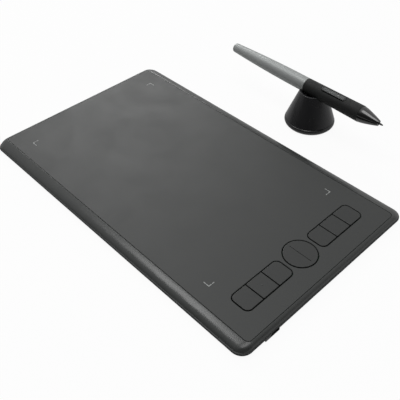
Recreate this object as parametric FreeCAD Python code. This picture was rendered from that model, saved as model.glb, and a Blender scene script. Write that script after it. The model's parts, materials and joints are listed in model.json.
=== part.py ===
"""Graphics tablet with six press keys, a round rocker key, its pen and its pen stand.

Millimetres. The desk is z = 0, +Z is up, and the origin is on the desk under the middle of
the tablet. +X runs along the tablet towards its keys and +Y across it towards the stand.
"""
import FreeCAD, Part
import math
import os

Vector = FreeCAD.Vector
UP = Vector(0, 0, 1)
ALONG = Vector(1, 0, 0)
ACROSS = Vector(0, 1, 0)

# Working margins: how far a cutting tool runs past what it cuts, and what counts as one place
CUT_MARGIN = 1.0
SAME_PLACE = 0.0001

# Tablet: overall size and edge
TABLET_LENGTH = 311.8
TABLET_WIDTH = 189.8
TABLET_HEIGHT = 8.0
FOOT_PROUD = 0.5
EDGE_HEIGHT = 3.2
EDGE_CORNER_RADIUS = 9.5
PARTING_HEIGHT = 4.4
PARTING_GROOVE = 0.3
PARTING_GROOVE_DEPTH = 0.5
PARTING_INSET_LONG_SIDE = 1.3
PARTING_INSET_SHORT_SIDE = 0.8
UNDER_INSET_LONG_SIDE = 3.4
UNDER_INSET_SHORT_SIDE = 2.6
UPPER_ROLL_ANGLE = 60.0
UNDER_ROLL_ANGLE = 75.0
UPPER_ROLL_STEPS = 2
UNDER_ROLL_STEPS = 4

# Tablet: slope from the seam of the panel down to the parting line
SLOPE_LONG_SIDE = 9.7
SLOPE_SHORT_SIDE = 3.8
SLOPE_START_ANGLE = 8.0
SLOPE_END_ANGLE = 72.0
SLOPE_STEPS = 6
RIM_LAND = 0.3
SEAM_CORNER_RADIUS = 4.0
SEAM_GAP = 0.45

# Tablet: sheets and walls
PANEL_THICKNESS = 0.8
TAPE_THICKNESS = 0.2
TAPE_INSET = 1.5
TAPE_OPENING_GROWTH = 0.75
DECK_THICKNESS = 1.0
FLOOR_THICKNESS = 1.2
TOP_WALL_LONG_SIDE = 5.0
TOP_WALL_SHORT_SIDE = 2.4
BOTTOM_WALL_LONG_SIDE = 3.8
BOTTOM_WALL_SHORT_SIDE = 2.8
CAVITY_CORNER_RADIUS = 5.0
LIP_HEIGHT = 0.8
LIP_THICKNESS = 0.8
LIP_CLEARANCE = 0.1

# Press keys
KEY_END_OFFSET = 29.9
KEY_GROUP_SPACING = 2.6
KEY_GROUP_LENGTH = 51.2
KEY_GROUP_WIDTH = 18.9
KEY_GROUP_CORNER_RADIUS = 5.15
KEYS_PER_GROUP = 3
KEY_GAP = 0.75
KEY_SPLIT = 0.7
KEY_PROUD = 0.15
KEY_EDGE_RADIUS = 0.45
KEY_INNER_CORNER_RADIUS = 0.6
KEY_FLANGE_REACH = 1.2
KEY_FLANGE_THICKNESS = 0.7
KEY_FLANGE_GAP = 0.1
KEY_FLANGE_TRIM = 2.2
KEY_POST_DROP = 0.2
KEY_POST_DIAMETER = 3.0
KEY_TRAVEL = 0.4
OPENING_CHAMFER = 0.3

# Round rocker key
ROUND_KEY_DIAMETER = 26.4
ROUND_KEY_WALL = 1.2
ROUND_KEY_TOP_THICKNESS = 1.2
ROUND_KEY_TILT = 1.5
ROUND_KEY_LINE_LENGTH = 21.0
ROUND_KEY_LINE_WIDTH = 0.5
ROUND_KEY_LINE_DEPTH = 0.3
ROUND_KEY_POST_OFFSET = 8.0
PIVOT_DIAMETER = 1.2
PIVOT_REACH = 2.8
PIVOT_CLEARANCE = 0.05
PIVOT_BRACKET_SIZE = 2.2
PIVOT_BRACKET_DROP = 1.8
PIVOT_BRACKET_GAP = 0.25
PIVOT_END_CLEARANCE = 1.0

# Tact switches and boards
POST_END_CLEARANCE = 0.05
SWITCH_SIZE = 4.5
SWITCH_BODY_HEIGHT = 1.2
SWITCH_PLUNGER_DIAMETER = 2.0
SWITCH_PLUNGER_HEIGHT = 0.25
MAIN_BOARD_WIDTH = 41.0
MAIN_BOARD_END_OFFSET = 4.4
MAIN_BOARD_SIDE_OFFSET = 21.9
BOARD_THICKNESS = 0.8
BOARD_CORNER_RADIUS = 1.5
BOARD_CLEARANCE = 0.2
BOARD_POST_DIAMETER = 4.0
BOARD_POST_INSET = 0.5
SENSOR_BOARD_END_OFFSET = 22.4
SENSOR_BOARD_SIDE_OFFSET = 18.9
SENSOR_BOARD_GAP = 4.0
SHIELD_THICKNESS = 0.3
SHIELD_INSET = 1.0
SHIELD_SETBACK = 7.0
CHIP_SIZE = 7.0
CHIP_HEIGHT = 1.0
CHIP_OFFSET_X = 11.2
CHIP_OFFSET_Y = 7.0
MULTIPLEXER_LENGTH = 9.9
MULTIPLEXER_WIDTH = 4.4
MULTIPLEXER_COUNT = 4
MULTIPLEXER_GAP = 4.4
MULTIPLEXER_INSET = 2.2
CRYSTAL_LENGTH = 5.0
CRYSTAL_WIDTH = 3.2
CRYSTAL_HEIGHT = 0.9
CRYSTAL_GAP = 2.5
CONNECTOR_LENGTH = 14.0
CONNECTOR_DEPTH = 4.0
CONNECTOR_HEIGHT = 1.1
CONNECTOR_INSET = 1.0
CONNECTOR_KEY_GAP = 1.0
FLAT_CABLE_WIDTH = 11.0
FLAT_CABLE_THICKNESS = 0.25
FLAT_CABLE_END_RUN = 1.4

# Screws, feet and ribs
SCREW_END_OFFSET = 10.9
SCREW_SIDE_OFFSET = 12.9
SCREW_SPACING = 95.0
SCREW_THREAD_DIAMETER = 2.0
SCREW_HEAD_DIAMETER = 3.6
SCREW_HEAD_HEIGHT = 0.9
SCREW_LENGTH = 3.4
SCREW_CLEARANCE = 0.05
SCREW_HOLE_CLEARANCE = 0.1
SCREW_SLOT_SIZE = 1.9
SCREW_SLOT_DEPTH = 0.5
BOSS_DIAMETER = 5.6
BOSS_JOINT_HEIGHT = 2.9
FOOT_LENGTH = 40.0
FOOT_WIDTH = 8.0
FOOT_RECESS = 0.5
FOOT_END_OFFSET = 40.9
FOOT_SIDE_OFFSET = 14.9
FOOT_CLEARANCE = 0.1
RIB_THICKNESS = 1.2
RIB_PITCH = 50.0
RIB_END_OFFSET = 23.5

# Cable socket on the short side by the keys
SOCKET_SIDE_OFFSET = 32.9
SOCKET_CENTRE_HEIGHT = 2.25
SOCKET_WIDTH = 8.94
SOCKET_HEIGHT = 3.16
SOCKET_WALL = 0.3
SOCKET_DEPTH = 7.3
SOCKET_RECESS = 0.6
SOCKET_CLEARANCE = 0.08
SOCKET_TONGUE_WIDTH = 6.7
SOCKET_TONGUE_THICKNESS = 0.7
SOCKET_TONGUE_REACH = 4.4
SOCKET_TAB_REACH = 1.2
SOCKET_TAB_THICKNESS = 0.3
SOCKET_TAB_SETBACK = 1.0
SOCKET_TAB_LENGTH = 2.0
SOCKET_ROOT_DEPTH = 1.2
SOCKET_BACK_RELIEF = 2.0
SOCKET_BOSS_NEAR_REACH = 9.6
SOCKET_BOSS_FAR_REACH = 8.0
SOCKET_BOSS_SLANT = 3.5
SOCKET_BOSS_DEPTH = 9.0
SOCKET_BOSS_BOTTOM = 0.2

# Pen: stations are distances from its rear end
PEN_LENGTH = 180.0
PEN_TIP_REACH = 76.8
PEN_AXIS_HEIGHT = 37.7
PEN_ROLL = 15.0
PEN_TAIL_DIAMETER = 8.9
PEN_TAIL_ROUNDING = 1.5
PEN_JUNCTION_STATION = 95.2
BARREL_FRONT_DIAMETER = 13.6
BARREL_BULGE = 0.7
BARREL_STEPS = 6
BARREL_WALL = 1.0
BARREL_SEAT_THICKENING = 0.2
GRIP_REAR_DIAMETER = 13.7
GRIP_FRONT_DIAMETER = 15.2
GRIP_FRONT_STATION = 157.5
GRIP_REAR_BEVEL = 0.5
GRIP_FRONT_BEVEL = 0.3
GRIP_BORE_DIAMETER = 10.4
CONE_END_STATION = 175.7
CONE_END_DIAMETER = 5.2
CONE_REAR_STEP = 0.15
CONE_FULLNESS = 1.27
CONE_STEPS = 6
CONE_SPIGOT_LENGTH = 7.0
CONE_BORE_DIAMETER = 7.4
CONE_BORE_DEPTH = 8.0
PEN_FIT_CLEARANCE = 0.05
CARRIER_SPIGOT_LENGTH = 18.0
CARRIER_SPIGOT_DIAMETER = 8.6
CARRIER_BORE_DIAMETER = 8.2
CARRIER_SPIGOT_WALL = 1.0
CARRIER_SHOULDER = 1.0
CARRIER_END_GAP = 0.5
NIB_DIAMETER = 1.7
NIB_LENGTH = 22.0
NIB_TIP_RADIUS = 0.6
NIB_TAPER_LENGTH = 2.0
NIB_TIP_START_ANGLE = 15.0
NIB_TIP_STEPS = 5
NIB_TRAVEL = 0.8
NIB_RUNNING_CLEARANCE = 0.1
NIB_HOLDER_DIAMETER = 2.7
NIB_HOLDER_GRIP = 5.0
NIB_HOLDER_LENGTH = 16.0
FERRITE_DIAMETER = 5.2
FERRITE_LENGTH = 17.0
FERRITE_FRONT_GAP = 0.2
COIL_DIAMETER = 6.8
COIL_LENGTH = 12.0
PRESSURE_SENSOR_LENGTH = 3.8
PRESSURE_SENSOR_GAP = 0.1
PEN_BOARD_LENGTH = 44.0
PEN_BOARD_WIDTH = 6.6
PEN_BOARD_TOP_OFFSET = 2.4
PEN_SWITCH_LENGTH = 3.5
PEN_SWITCH_WIDTH = 3.0
PEN_SWITCH_HEIGHT = 1.6
PEN_SWITCH_PLUNGER_HEIGHT = 0.3

# Pen rocker
ROCKER_LENGTH = 27.0
ROCKER_WIDTH = 5.2
ROCKER_REAR_STATION = 113.4
ROCKER_BOTTOM_OFFSET = 5.0
ROCKER_PROUD = 0.5
ROCKER_EDGE_RADIUS = 0.8
ROCKER_GAP = 0.25
ROCKER_PIVOT_OFFSET = 5.2
ROCKER_PIVOT_REACH = 0.9
ROCKER_POST_SPACING = 8.0
ROCKER_POST_DIAMETER = 2.0
ROCKER_TILT = 2.5

# Pen stand
STAND_CENTRE_X = 20.7
STAND_GAP = 24.1
STAND_HEADING = -1.9
STAND_EDGE_DIAMETER = 48.8
STAND_EDGE_HEIGHT = 3.1
STAND_EDGE_ROUNDING = 3.0
STAND_SEAM_BEVEL = 0.4
STAND_FOOT_DIAMETER = 43.7
STAND_CONE_DIAMETER = 25.7
STAND_CONE_HEIGHT = 34.5
STAND_RIM_HEIGHT = 35.4
STAND_RIM_WIDTH = 1.6
STAND_RIM_ROUNDING = 0.5
STAND_BOWL_DEPTH = 5.6
STAND_BOWL_FLOOR_DIAMETER = 12.0
STAND_FLOOR_THICKNESS = 1.9
STAND_SEAM_HEIGHT = 6.2
STAND_SEAM_GAP = 0.25
STAND_PAD_THICKNESS = 0.8
STAND_PAD_PROUD = 0.4
STAND_PAD_DIAMETER = 39.0
STAND_PAD_HOLE_DIAMETER = 18.0
SADDLE_RADIUS = 7.7
SADDLE_CLEARANCE = 0.2
STAND_SPIGOT_DIAMETER = 34.0
STAND_SPIGOT_WALL = 2.0
STAND_SPIGOT_HEIGHT = 9.5
STAND_SPIGOT_CLEARANCE = 0.25
STAND_CAVITY_TOP_DIAMETER = 25.0
STAND_CAVITY_TOP_HEIGHT = 27.4
BAYONET_LUG_REACH = 1.2
BAYONET_LUG_HEIGHT = 1.6
BAYONET_LUG_RISE = 6.5
BAYONET_LUG_ANGLE = 24.0
BAYONET_TURN = 40.0
BAYONET_SLOT_MARGIN = 4.0
NIB_TRAY_HEIGHT = 6.0
NIB_TRAY_HOLE_DEPTH = 5.0
NIB_TRAY_HOLE_CIRCLE = 19.0
SPARE_NIB_COUNT = 8
NIB_PULLER_DIAMETER = 8.0
NIB_PULLER_THICKNESS = 0.8
NIB_PULLER_HOLE_DIAMETER = 1.8

# Heights and half sizes worked out from the sizes above
HALF_LENGTH = TABLET_LENGTH / 2
HALF_WIDTH = TABLET_WIDTH / 2
KEY_CENTRE_X = HALF_LENGTH - KEY_END_OFFSET
KEY_GROUP_CENTRE_Y = ROUND_KEY_DIAMETER / 2 + KEY_GAP + KEY_GROUP_SPACING + KEY_GROUP_LENGTH / 2
MAIN_BOARD_LENGTH = TABLET_WIDTH - 2 * MAIN_BOARD_SIDE_OFFSET
MAIN_BOARD_INNER_X = HALF_LENGTH - MAIN_BOARD_END_OFFSET - MAIN_BOARD_WIDTH
MAIN_BOARD_CENTRE_X = MAIN_BOARD_INNER_X + MAIN_BOARD_WIDTH / 2
CONNECTOR_CENTRE_Y = -(ROUND_KEY_DIAMETER / 2 + CONNECTOR_KEY_GAP + CONNECTOR_LENGTH / 2)
SENSOR_BOARD_LOW_X = -HALF_LENGTH + SENSOR_BOARD_END_OFFSET
SENSOR_BOARD_HIGH_X = MAIN_BOARD_INNER_X - SENSOR_BOARD_GAP
SENSOR_BOARD_HALF_WIDTH = HALF_WIDTH - SENSOR_BOARD_SIDE_OFFSET
SHIELD_LOW_X = SENSOR_BOARD_LOW_X + SHIELD_INSET
SHIELD_HIGH_X = SENSOR_BOARD_HIGH_X - SHIELD_SETBACK
SHIELD_HALF_WIDTH = SENSOR_BOARD_HALF_WIDTH - SHIELD_INSET
SOCKET_CENTRE_Y = -HALF_WIDTH + SOCKET_SIDE_OFFSET
STAND_CENTRE_Y = HALF_WIDTH + STAND_GAP + STAND_EDGE_DIAMETER / 2
SEAM_HALF_LENGTH = HALF_LENGTH - SLOPE_SHORT_SIDE - RIM_LAND
SEAM_HALF_WIDTH = HALF_WIDTH - SLOPE_LONG_SIDE - RIM_LAND
PANEL_BOTTOM = TABLET_HEIGHT - PANEL_THICKNESS
DECK_TOP = PANEL_BOTTOM - TAPE_THICKNESS
DECK_BOTTOM = DECK_TOP - DECK_THICKNESS
FLOOR_BOTTOM = FOOT_PROUD
FLOOR_TOP = FLOOR_BOTTOM + FLOOR_THICKNESS
KEY_TOP = TABLET_HEIGHT + KEY_PROUD
KEY_FLANGE_TOP = DECK_BOTTOM - KEY_FLANGE_GAP
KEY_FLANGE_BOTTOM = KEY_FLANGE_TOP - KEY_FLANGE_THICKNESS
KEY_POST_BOTTOM = KEY_FLANGE_BOTTOM - KEY_POST_DROP
SWITCH_TOP = KEY_POST_BOTTOM - KEY_TRAVEL - POST_END_CLEARANCE
BOARD_TOP = SWITCH_TOP - SWITCH_PLUNGER_HEIGHT - SWITCH_BODY_HEIGHT
BOARD_BOTTOM = BOARD_TOP - BOARD_THICKNESS
SENSOR_BOARD_BOTTOM = DECK_BOTTOM - BOARD_THICKNESS
SHIELD_BOTTOM = SENSOR_BOARD_BOTTOM - SHIELD_THICKNESS
PIVOT_HEIGHT = DECK_BOTTOM - PIVOT_DIAMETER / 2
ROUND_KEY_BOTTOM = PIVOT_HEIGHT - PIVOT_DIAMETER / 2
SOCKET_FRONT_X = HALF_LENGTH - SOCKET_RECESS
SOCKET_BACK_X = SOCKET_FRONT_X - SOCKET_DEPTH
PEN_TAIL_X = STAND_CENTRE_X + PEN_TIP_REACH - PEN_LENGTH
PEN_AXIS = Vector(0, STAND_CENTRE_Y, PEN_AXIS_HEIGHT)
STAND_AXIS = Vector(STAND_CENTRE_X, STAND_CENTRE_Y, 0)
GRIP_SLOPE = (GRIP_FRONT_DIAMETER - GRIP_REAR_DIAMETER) / 2 / (GRIP_FRONT_STATION - PEN_JUNCTION_STATION)
STAND_SLOPE = (STAND_EDGE_DIAMETER - STAND_CONE_DIAMETER) / 2 / (STAND_CONE_HEIGHT - STAND_EDGE_HEIGHT)
STAND_FLOOR_TOP = STAND_PAD_PROUD + STAND_FLOOR_THICKNESS
SPARE_NIB_BOTTOM = STAND_FLOOR_TOP + NIB_TRAY_HEIGHT - NIB_TRAY_HOLE_DEPTH


def outline_wire(x_low, x_high, y_low, y_high, z, radii):
    """Closed rectangle with an arc at each corner, radii in the order of the corners below."""
    corners = (
        (x_low, y_low, 1, 1, 180.0),
        (x_high, y_low, -1, 1, 270.0),
        (x_high, y_high, -1, -1, 0.0),
        (x_low, y_high, 1, -1, 90.0),
    )
    arcs = []
    for (x, y, inward_x, inward_y, start), radius in zip(corners, radii):
        centre = Vector(x + inward_x * radius, y + inward_y * radius, z)
        circle = Part.Circle(centre, UP, radius)
        arcs.append(circle.toShape(math.radians(start), math.radians(start + 90.0)))
    edges = []
    for index, arc in enumerate(arcs):
        following = arcs[(index + 1) % len(arcs)]
        edges.append(arc)
        start = arc.Vertexes[-1].Point
        end = following.Vertexes[0].Point
        if start.distanceToPoint(end) > SAME_PLACE:
            edges.append(Part.makeLine(start, end))
    return Part.Wire(edges)


def plate(x_low, x_high, y_low, y_high, z_low, z_high, radii):
    """Flat plate with rounded corners."""
    wire = outline_wire(x_low, x_high, y_low, y_high, z_low, radii)
    return Part.Face(wire).extrude(UP * (z_high - z_low))


def centred_plate(half_length, half_width, radius, z_low, z_high, centre_x=0.0, centre_y=0.0):
    """Plate with equal corners, by its centre and half sizes."""
    return plate(centre_x - half_length, centre_x + half_length, centre_y - half_width,
                 centre_y + half_width, z_low, z_high, (radius,) * 4)


def block(x_low, x_high, y_low, y_high, z_low, z_high):
    """Plain box between two corners."""
    corner = Vector(x_low, y_low, z_low)
    return Part.makeBox(x_high - x_low, y_high - y_low, z_high - z_low, corner)


def centred_block(length, width, z_low, z_high, centre_x, centre_y):
    """Plain box by its centre."""
    return block(centre_x - length / 2, centre_x + length / 2, centre_y - width / 2,
                 centre_y + width / 2, z_low, z_high)


def round_ended(half_length, half_width, z_low, z_high, centre_x, centre_y):
    """Plate with half round ends, by its centre and half sizes."""
    return centred_plate(half_length, half_width, min(half_length, half_width), z_low, z_high, centre_x,
                         centre_y)


def upright(diameter, z_low, z_high, centre_x, centre_y):
    """Upright cylinder."""
    return Part.makeCylinder(diameter / 2, z_high - z_low, Vector(centre_x, centre_y, z_low), UP)


def joined(shapes):
    """One solid from several that touch or overlap."""
    shapes = list(shapes)
    result = shapes[0].fuse(shapes[1:]) if len(shapes) > 1 else shapes[0]
    return result.removeSplitter()


def without(shape, tools):
    """The shape with each tool cut away."""
    return shape.cut(list(tools))


def softened(shape, radius, chosen):
    """The shape with a fillet on each edge that the test accepts."""
    edges = [edge for edge in shape.Edges if chosen(edge)]
    return shape.makeFillet(radius, edges)


def lies_at(height):
    """Test for edges that lie wholly at one height."""
    def test(edge):
        box = edge.BoundBox
        return abs(box.ZMin - height) < SAME_PLACE and abs(box.ZMax - height) < SAME_PLACE
    return test


def lofted(sections):
    """Smooth solid through level rounded rectangles, each a half length, half width, radius and height."""
    wires = []
    for half_length, half_width, radius, height in sections:
        wires.append(outline_wire(-half_length, half_length, -half_width, half_width, height,
                                  (radius,) * 4))
    return Part.makeLoft(wires, True, False)


def slope_section(share):
    """Section of the top housing at a share of the way from the panel's rim to the parting line."""
    first = math.radians(SLOPE_START_ANGLE)
    last = math.radians(SLOPE_END_ANGLE)
    angle = first + share * (last - first)
    outward = (math.sin(angle) - math.sin(first)) / (math.sin(last) - math.sin(first))
    down = (math.cos(first) - math.cos(angle)) / (math.cos(first) - math.cos(last))
    start_length = SEAM_HALF_LENGTH + RIM_LAND
    start_width = SEAM_HALF_WIDTH + RIM_LAND
    end_length = HALF_LENGTH - PARTING_INSET_SHORT_SIDE
    end_width = HALF_WIDTH - PARTING_INSET_LONG_SIDE
    start_radius = SEAM_CORNER_RADIUS + RIM_LAND
    end_radius = EDGE_CORNER_RADIUS - PARTING_INSET_SHORT_SIDE
    return (start_length + outward * (end_length - start_length),
            start_width + outward * (end_width - start_width),
            start_radius + outward * (end_radius - start_radius),
            TABLET_HEIGHT - down * (TABLET_HEIGHT - PARTING_HEIGHT))


def edge_section(angle, long_reach, short_reach, rise):
    """Section of the bottom shell on its rolled edge, at an angle from the widest line."""
    turned_in = 1.0 - math.cos(math.radians(angle))
    inset_long = long_reach * turned_in
    inset_short = short_reach * turned_in
    return (HALF_LENGTH - inset_short,
            HALF_WIDTH - inset_long,
            EDGE_CORNER_RADIUS - inset_short,
            EDGE_HEIGHT + rise * math.sin(math.radians(angle)))


def key_openings(z_low, z_high, growth=0.0):
    """The two key group openings and the round one, as solids that cut a sheet."""
    tools = []
    for side in (-1, 1):
        tools.append(centred_plate(KEY_GROUP_WIDTH / 2 + growth, KEY_GROUP_LENGTH / 2 + growth,
                                   KEY_GROUP_CORNER_RADIUS + growth, z_low, z_high,
                                   KEY_CENTRE_X, side * KEY_GROUP_CENTRE_Y))
    opening = ROUND_KEY_DIAMETER + 2 * KEY_GAP + 2 * growth
    tools.append(upright(opening, z_low, z_high, KEY_CENTRE_X, 0.0))
    return tools


def opening_chamfers():
    """Flared tools that break the upper edge of each key opening in the panel."""
    low = TABLET_HEIGHT - OPENING_CHAMFER
    high = TABLET_HEIGHT + OPENING_CHAMFER
    tools = []
    for side in (-1, 1):
        wires = []
        for height, growth in ((low, 0.0), (high, 2 * OPENING_CHAMFER)):
            half_length = KEY_GROUP_WIDTH / 2 + growth
            half_width = KEY_GROUP_LENGTH / 2 + growth
            middle = side * KEY_GROUP_CENTRE_Y
            wires.append(outline_wire(KEY_CENTRE_X - half_length, KEY_CENTRE_X + half_length,
                                      middle - half_width, middle + half_width, height,
                                      (KEY_GROUP_CORNER_RADIUS + growth,) * 4))
        tools.append(Part.makeLoft(wires, True, True))
    radius = ROUND_KEY_DIAMETER / 2 + KEY_GAP
    tools.append(Part.makeCone(radius, radius + 2 * OPENING_CHAMFER, high - low,
                               Vector(KEY_CENTRE_X, 0, low), UP))
    return tools


def screw_places():
    """Centre of each case screw."""
    outer = HALF_LENGTH - SCREW_END_OFFSET
    inner = outer - SCREW_SPACING
    y = HALF_WIDTH - SCREW_SIDE_OFFSET
    return [(x, side * y) for x in (-outer, -inner, inner, outer) for side in (-1, 1)]


def foot_places():
    """Centre of each rubber foot."""
    reach_x = HALF_LENGTH - FOOT_END_OFFSET
    reach_y = HALF_WIDTH - FOOT_SIDE_OFFSET
    return [(x * reach_x, y * reach_y) for x in (-1, 1) for y in (-1, 1)]


def switch_places():
    """Centre of the tact switch under each key, then under the two ends of the round key."""
    places = [centre for centre, low, high in key_slots()]
    places += [side * ROUND_KEY_POST_OFFSET for side in (-1, 1)]
    return places


def key_slots():
    """Middle, lower and upper edge across the tablet of each press key, in order."""
    length = KEY_GROUP_LENGTH - 2 * KEY_GAP
    pitch = (length + KEY_SPLIT) / KEYS_PER_GROUP
    slots = []
    for side in (-1, 1):
        start = side * KEY_GROUP_CENTRE_Y - length / 2
        for index in range(KEYS_PER_GROUP):
            low = start + index * pitch
            high = low + pitch - KEY_SPLIT
            slots.append(((low + high) / 2, low, high))
    return slots


def make_drawing_panel():
    """Textured sheet that covers the whole top, with openings for the keys."""
    sheet = centred_plate(SEAM_HALF_LENGTH - SEAM_GAP, SEAM_HALF_WIDTH - SEAM_GAP,
                          SEAM_CORNER_RADIUS - SEAM_GAP, PANEL_BOTTOM, TABLET_HEIGHT)
    sheet = without(sheet, key_openings(PANEL_BOTTOM - CUT_MARGIN, TABLET_HEIGHT + CUT_MARGIN))
    return without(sheet, opening_chamfers())


def make_panel_tape():
    """Double-sided adhesive sheet between the panel and the deck of the housing."""
    sheet = centred_plate(SEAM_HALF_LENGTH - TAPE_INSET, SEAM_HALF_WIDTH - TAPE_INSET,
                          SEAM_CORNER_RADIUS, DECK_TOP, PANEL_BOTTOM)
    return without(sheet, key_openings(DECK_TOP - CUT_MARGIN, PANEL_BOTTOM + CUT_MARGIN,
                                       TAPE_OPENING_GROWTH))


def pivot_brackets():
    """Blocks under the deck that carry the pivots of the round key."""
    opening_radius = ROUND_KEY_DIAMETER / 2 + KEY_GAP
    brackets = []
    for side in (-1, 1):
        middle = KEY_CENTRE_X + side * (opening_radius + PIVOT_BRACKET_GAP + PIVOT_BRACKET_SIZE / 2)
        brackets.append(centred_block(PIVOT_BRACKET_SIZE, 2 * PIVOT_BRACKET_SIZE,
                                      DECK_BOTTOM - PIVOT_BRACKET_DROP, DECK_BOTTOM, middle, 0.0))
    return brackets


def pivot_bore():
    """Running bore for the pivots of the round key, through both brackets."""
    reach = ROUND_KEY_DIAMETER / 2 + PIVOT_REACH + PIVOT_END_CLEARANCE
    start = Vector(KEY_CENTRE_X - reach, 0, PIVOT_HEIGHT)
    return Part.makeCylinder(PIVOT_DIAMETER / 2 + PIVOT_CLEARANCE, 2 * reach, start, ALONG)


def make_top_housing():
    """Upper shell: rolled rim around the panel, deck under it and screw bosses."""
    outer = lofted([slope_section(index / SLOPE_STEPS) for index in range(SLOPE_STEPS + 1)])
    recess = centred_plate(SEAM_HALF_LENGTH, SEAM_HALF_WIDTH, SEAM_CORNER_RADIUS, DECK_TOP,
                           TABLET_HEIGHT + CUT_MARGIN)
    cavity = centred_plate(HALF_LENGTH - TOP_WALL_SHORT_SIDE, HALF_WIDTH - TOP_WALL_LONG_SIDE,
                           CAVITY_CORNER_RADIUS, PARTING_HEIGHT - CUT_MARGIN, DECK_BOTTOM)
    shell = without(outer, [recess, cavity])
    bosses = [upright(BOSS_DIAMETER, BOSS_JOINT_HEIGHT, DECK_BOTTOM, x, y) for x, y in screw_places()]
    shell = joined([shell] + bosses + pivot_brackets())
    bore_top = screw_tip_height() + SCREW_CLEARANCE
    bores = [upright(SCREW_THREAD_DIAMETER + 2 * SCREW_CLEARANCE, BOSS_JOINT_HEIGHT - CUT_MARGIN,
                     bore_top, x, y) for x, y in screw_places()]
    openings = key_openings(DECK_BOTTOM - CUT_MARGIN, DECK_TOP + CUT_MARGIN)
    return without(shell, openings + bores + [pivot_bore()])


def bottom_shell_outer():
    """Rolled outer body of the bottom shell, up to the parting line."""
    upper_turn = 1.0 - math.cos(math.radians(UPPER_ROLL_ANGLE))
    under_turn = 1.0 - math.cos(math.radians(UNDER_ROLL_ANGLE))
    groove_bottom = PARTING_HEIGHT - PARTING_GROOVE
    upper_rise = (groove_bottom - EDGE_HEIGHT) / math.sin(math.radians(UPPER_ROLL_ANGLE))
    under_rise = (EDGE_HEIGHT - FLOOR_BOTTOM) / math.sin(math.radians(UNDER_ROLL_ANGLE))
    sections = []
    for step in range(UNDER_ROLL_STEPS, 0, -1):
        share = step / UNDER_ROLL_STEPS
        sections.append(edge_section(-share * UNDER_ROLL_ANGLE, UNDER_INSET_LONG_SIDE / under_turn,
                                     UNDER_INSET_SHORT_SIDE / under_turn, under_rise))
    for step in range(UPPER_ROLL_STEPS + 1):
        share = step / UPPER_ROLL_STEPS
        sections.append(edge_section(share * UPPER_ROLL_ANGLE, PARTING_INSET_LONG_SIDE / upper_turn,
                                     PARTING_INSET_SHORT_SIDE / upper_turn, upper_rise))
    return lofted(sections)


def socket_boss():
    """Upright block on the short side that holds the cable socket, slanted at its inner end."""
    near = SOCKET_CENTRE_Y - SOCKET_BOSS_NEAR_REACH
    far = SOCKET_CENTRE_Y + SOCKET_BOSS_FAR_REACH
    points = [
        Vector(HALF_LENGTH - SOCKET_BOSS_DEPTH, near, SOCKET_BOSS_BOTTOM),
        Vector(HALF_LENGTH, near, SOCKET_BOSS_BOTTOM),
        Vector(HALF_LENGTH, far - SOCKET_BOSS_SLANT, SOCKET_BOSS_BOTTOM),
        Vector(HALF_LENGTH - SOCKET_BOSS_SLANT, far, SOCKET_BOSS_BOTTOM),
        Vector(HALF_LENGTH - SOCKET_BOSS_DEPTH, far, SOCKET_BOSS_BOTTOM),
    ]
    face = Part.Face(Part.makePolygon(points + points[:1]))
    height = PARTING_HEIGHT - PARTING_GROOVE - SOCKET_BOSS_BOTTOM
    solid = face.extrude(UP * height)
    return softened(solid, SOCKET_RECESS, lambda edge: edge.BoundBox.XMin > HALF_LENGTH - SAME_PLACE
                    and lies_at(PARTING_HEIGHT - PARTING_GROOVE)(edge))


def socket_tube(growth, x_low, x_high):
    """Flat-sided rounded bar along X on the axis of the socket."""
    half_width = SOCKET_WIDTH / 2 + growth
    half_height = SOCKET_HEIGHT / 2 + growth
    bar = round_ended(half_height, half_width, 0, x_high - x_low, 0, 0)
    bar.rotate(Vector(0, 0, 0), ACROSS, 90)
    bar.translate(Vector(x_low, SOCKET_CENTRE_Y, SOCKET_CENTRE_HEIGHT))
    return bar


def rib_places():
    """X of each rib across the floor, then Y of each rib along it."""
    start = SENSOR_BOARD_LOW_X + RIB_END_OFFSET
    across_count = int((SHIELD_HIGH_X - SHIELD_INSET - start) / RIB_PITCH) + 1
    side_count = int((SHIELD_HALF_WIDTH - RIB_THICKNESS) / RIB_PITCH)
    return ([start + index * RIB_PITCH for index in range(across_count)],
            [index * RIB_PITCH for index in range(-side_count, side_count + 1)])


def floor_ribs():
    """Crossing ribs that carry the shield plate, and the posts of the main board."""
    places_x, places_y = rib_places()
    half = RIB_THICKNESS / 2
    ribs = []
    for y in places_y:
        ribs.append(block(SHIELD_LOW_X, SHIELD_HIGH_X - 2 * SHIELD_INSET, y - half, y + half,
                          FLOOR_TOP, SHIELD_BOTTOM))
    for x in places_x:
        ribs.append(block(x - half, x + half, -SHIELD_HALF_WIDTH, SHIELD_HALF_WIDTH,
                          FLOOR_TOP, SHIELD_BOTTOM))
    for x, y in board_post_places():
        ribs.append(upright(BOARD_POST_DIAMETER, FLOOR_TOP, BOARD_BOTTOM, x, y))
    return ribs


def board_post_places():
    """Centre of each post under the main board."""
    reach_x = MAIN_BOARD_WIDTH / 2 - BOARD_POST_DIAMETER / 2 - BOARD_POST_INSET
    reach_y = MAIN_BOARD_LENGTH / 2 - BOARD_POST_DIAMETER / 2 - BOARD_POST_INSET
    return [(MAIN_BOARD_CENTRE_X + x * reach_x, y * reach_y) for x in (-1, 1) for y in (-1, 0, 1)]


def shell_lip():
    """Raised frame of the bottom shell that stands inside the wall of the top housing."""
    length = HALF_LENGTH - TOP_WALL_SHORT_SIDE - LIP_CLEARANCE
    width = HALF_WIDTH - TOP_WALL_LONG_SIDE - LIP_CLEARANCE
    radius = CAVITY_CORNER_RADIUS - LIP_CLEARANCE
    low = PARTING_HEIGHT - LIP_HEIGHT
    high = PARTING_HEIGHT + LIP_HEIGHT
    frame = centred_plate(length, width, radius, low, high)
    inside = centred_plate(length - LIP_THICKNESS, width - LIP_THICKNESS, radius - LIP_THICKNESS,
                           low - CUT_MARGIN, high + CUT_MARGIN)
    return without(frame, [inside])


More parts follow.
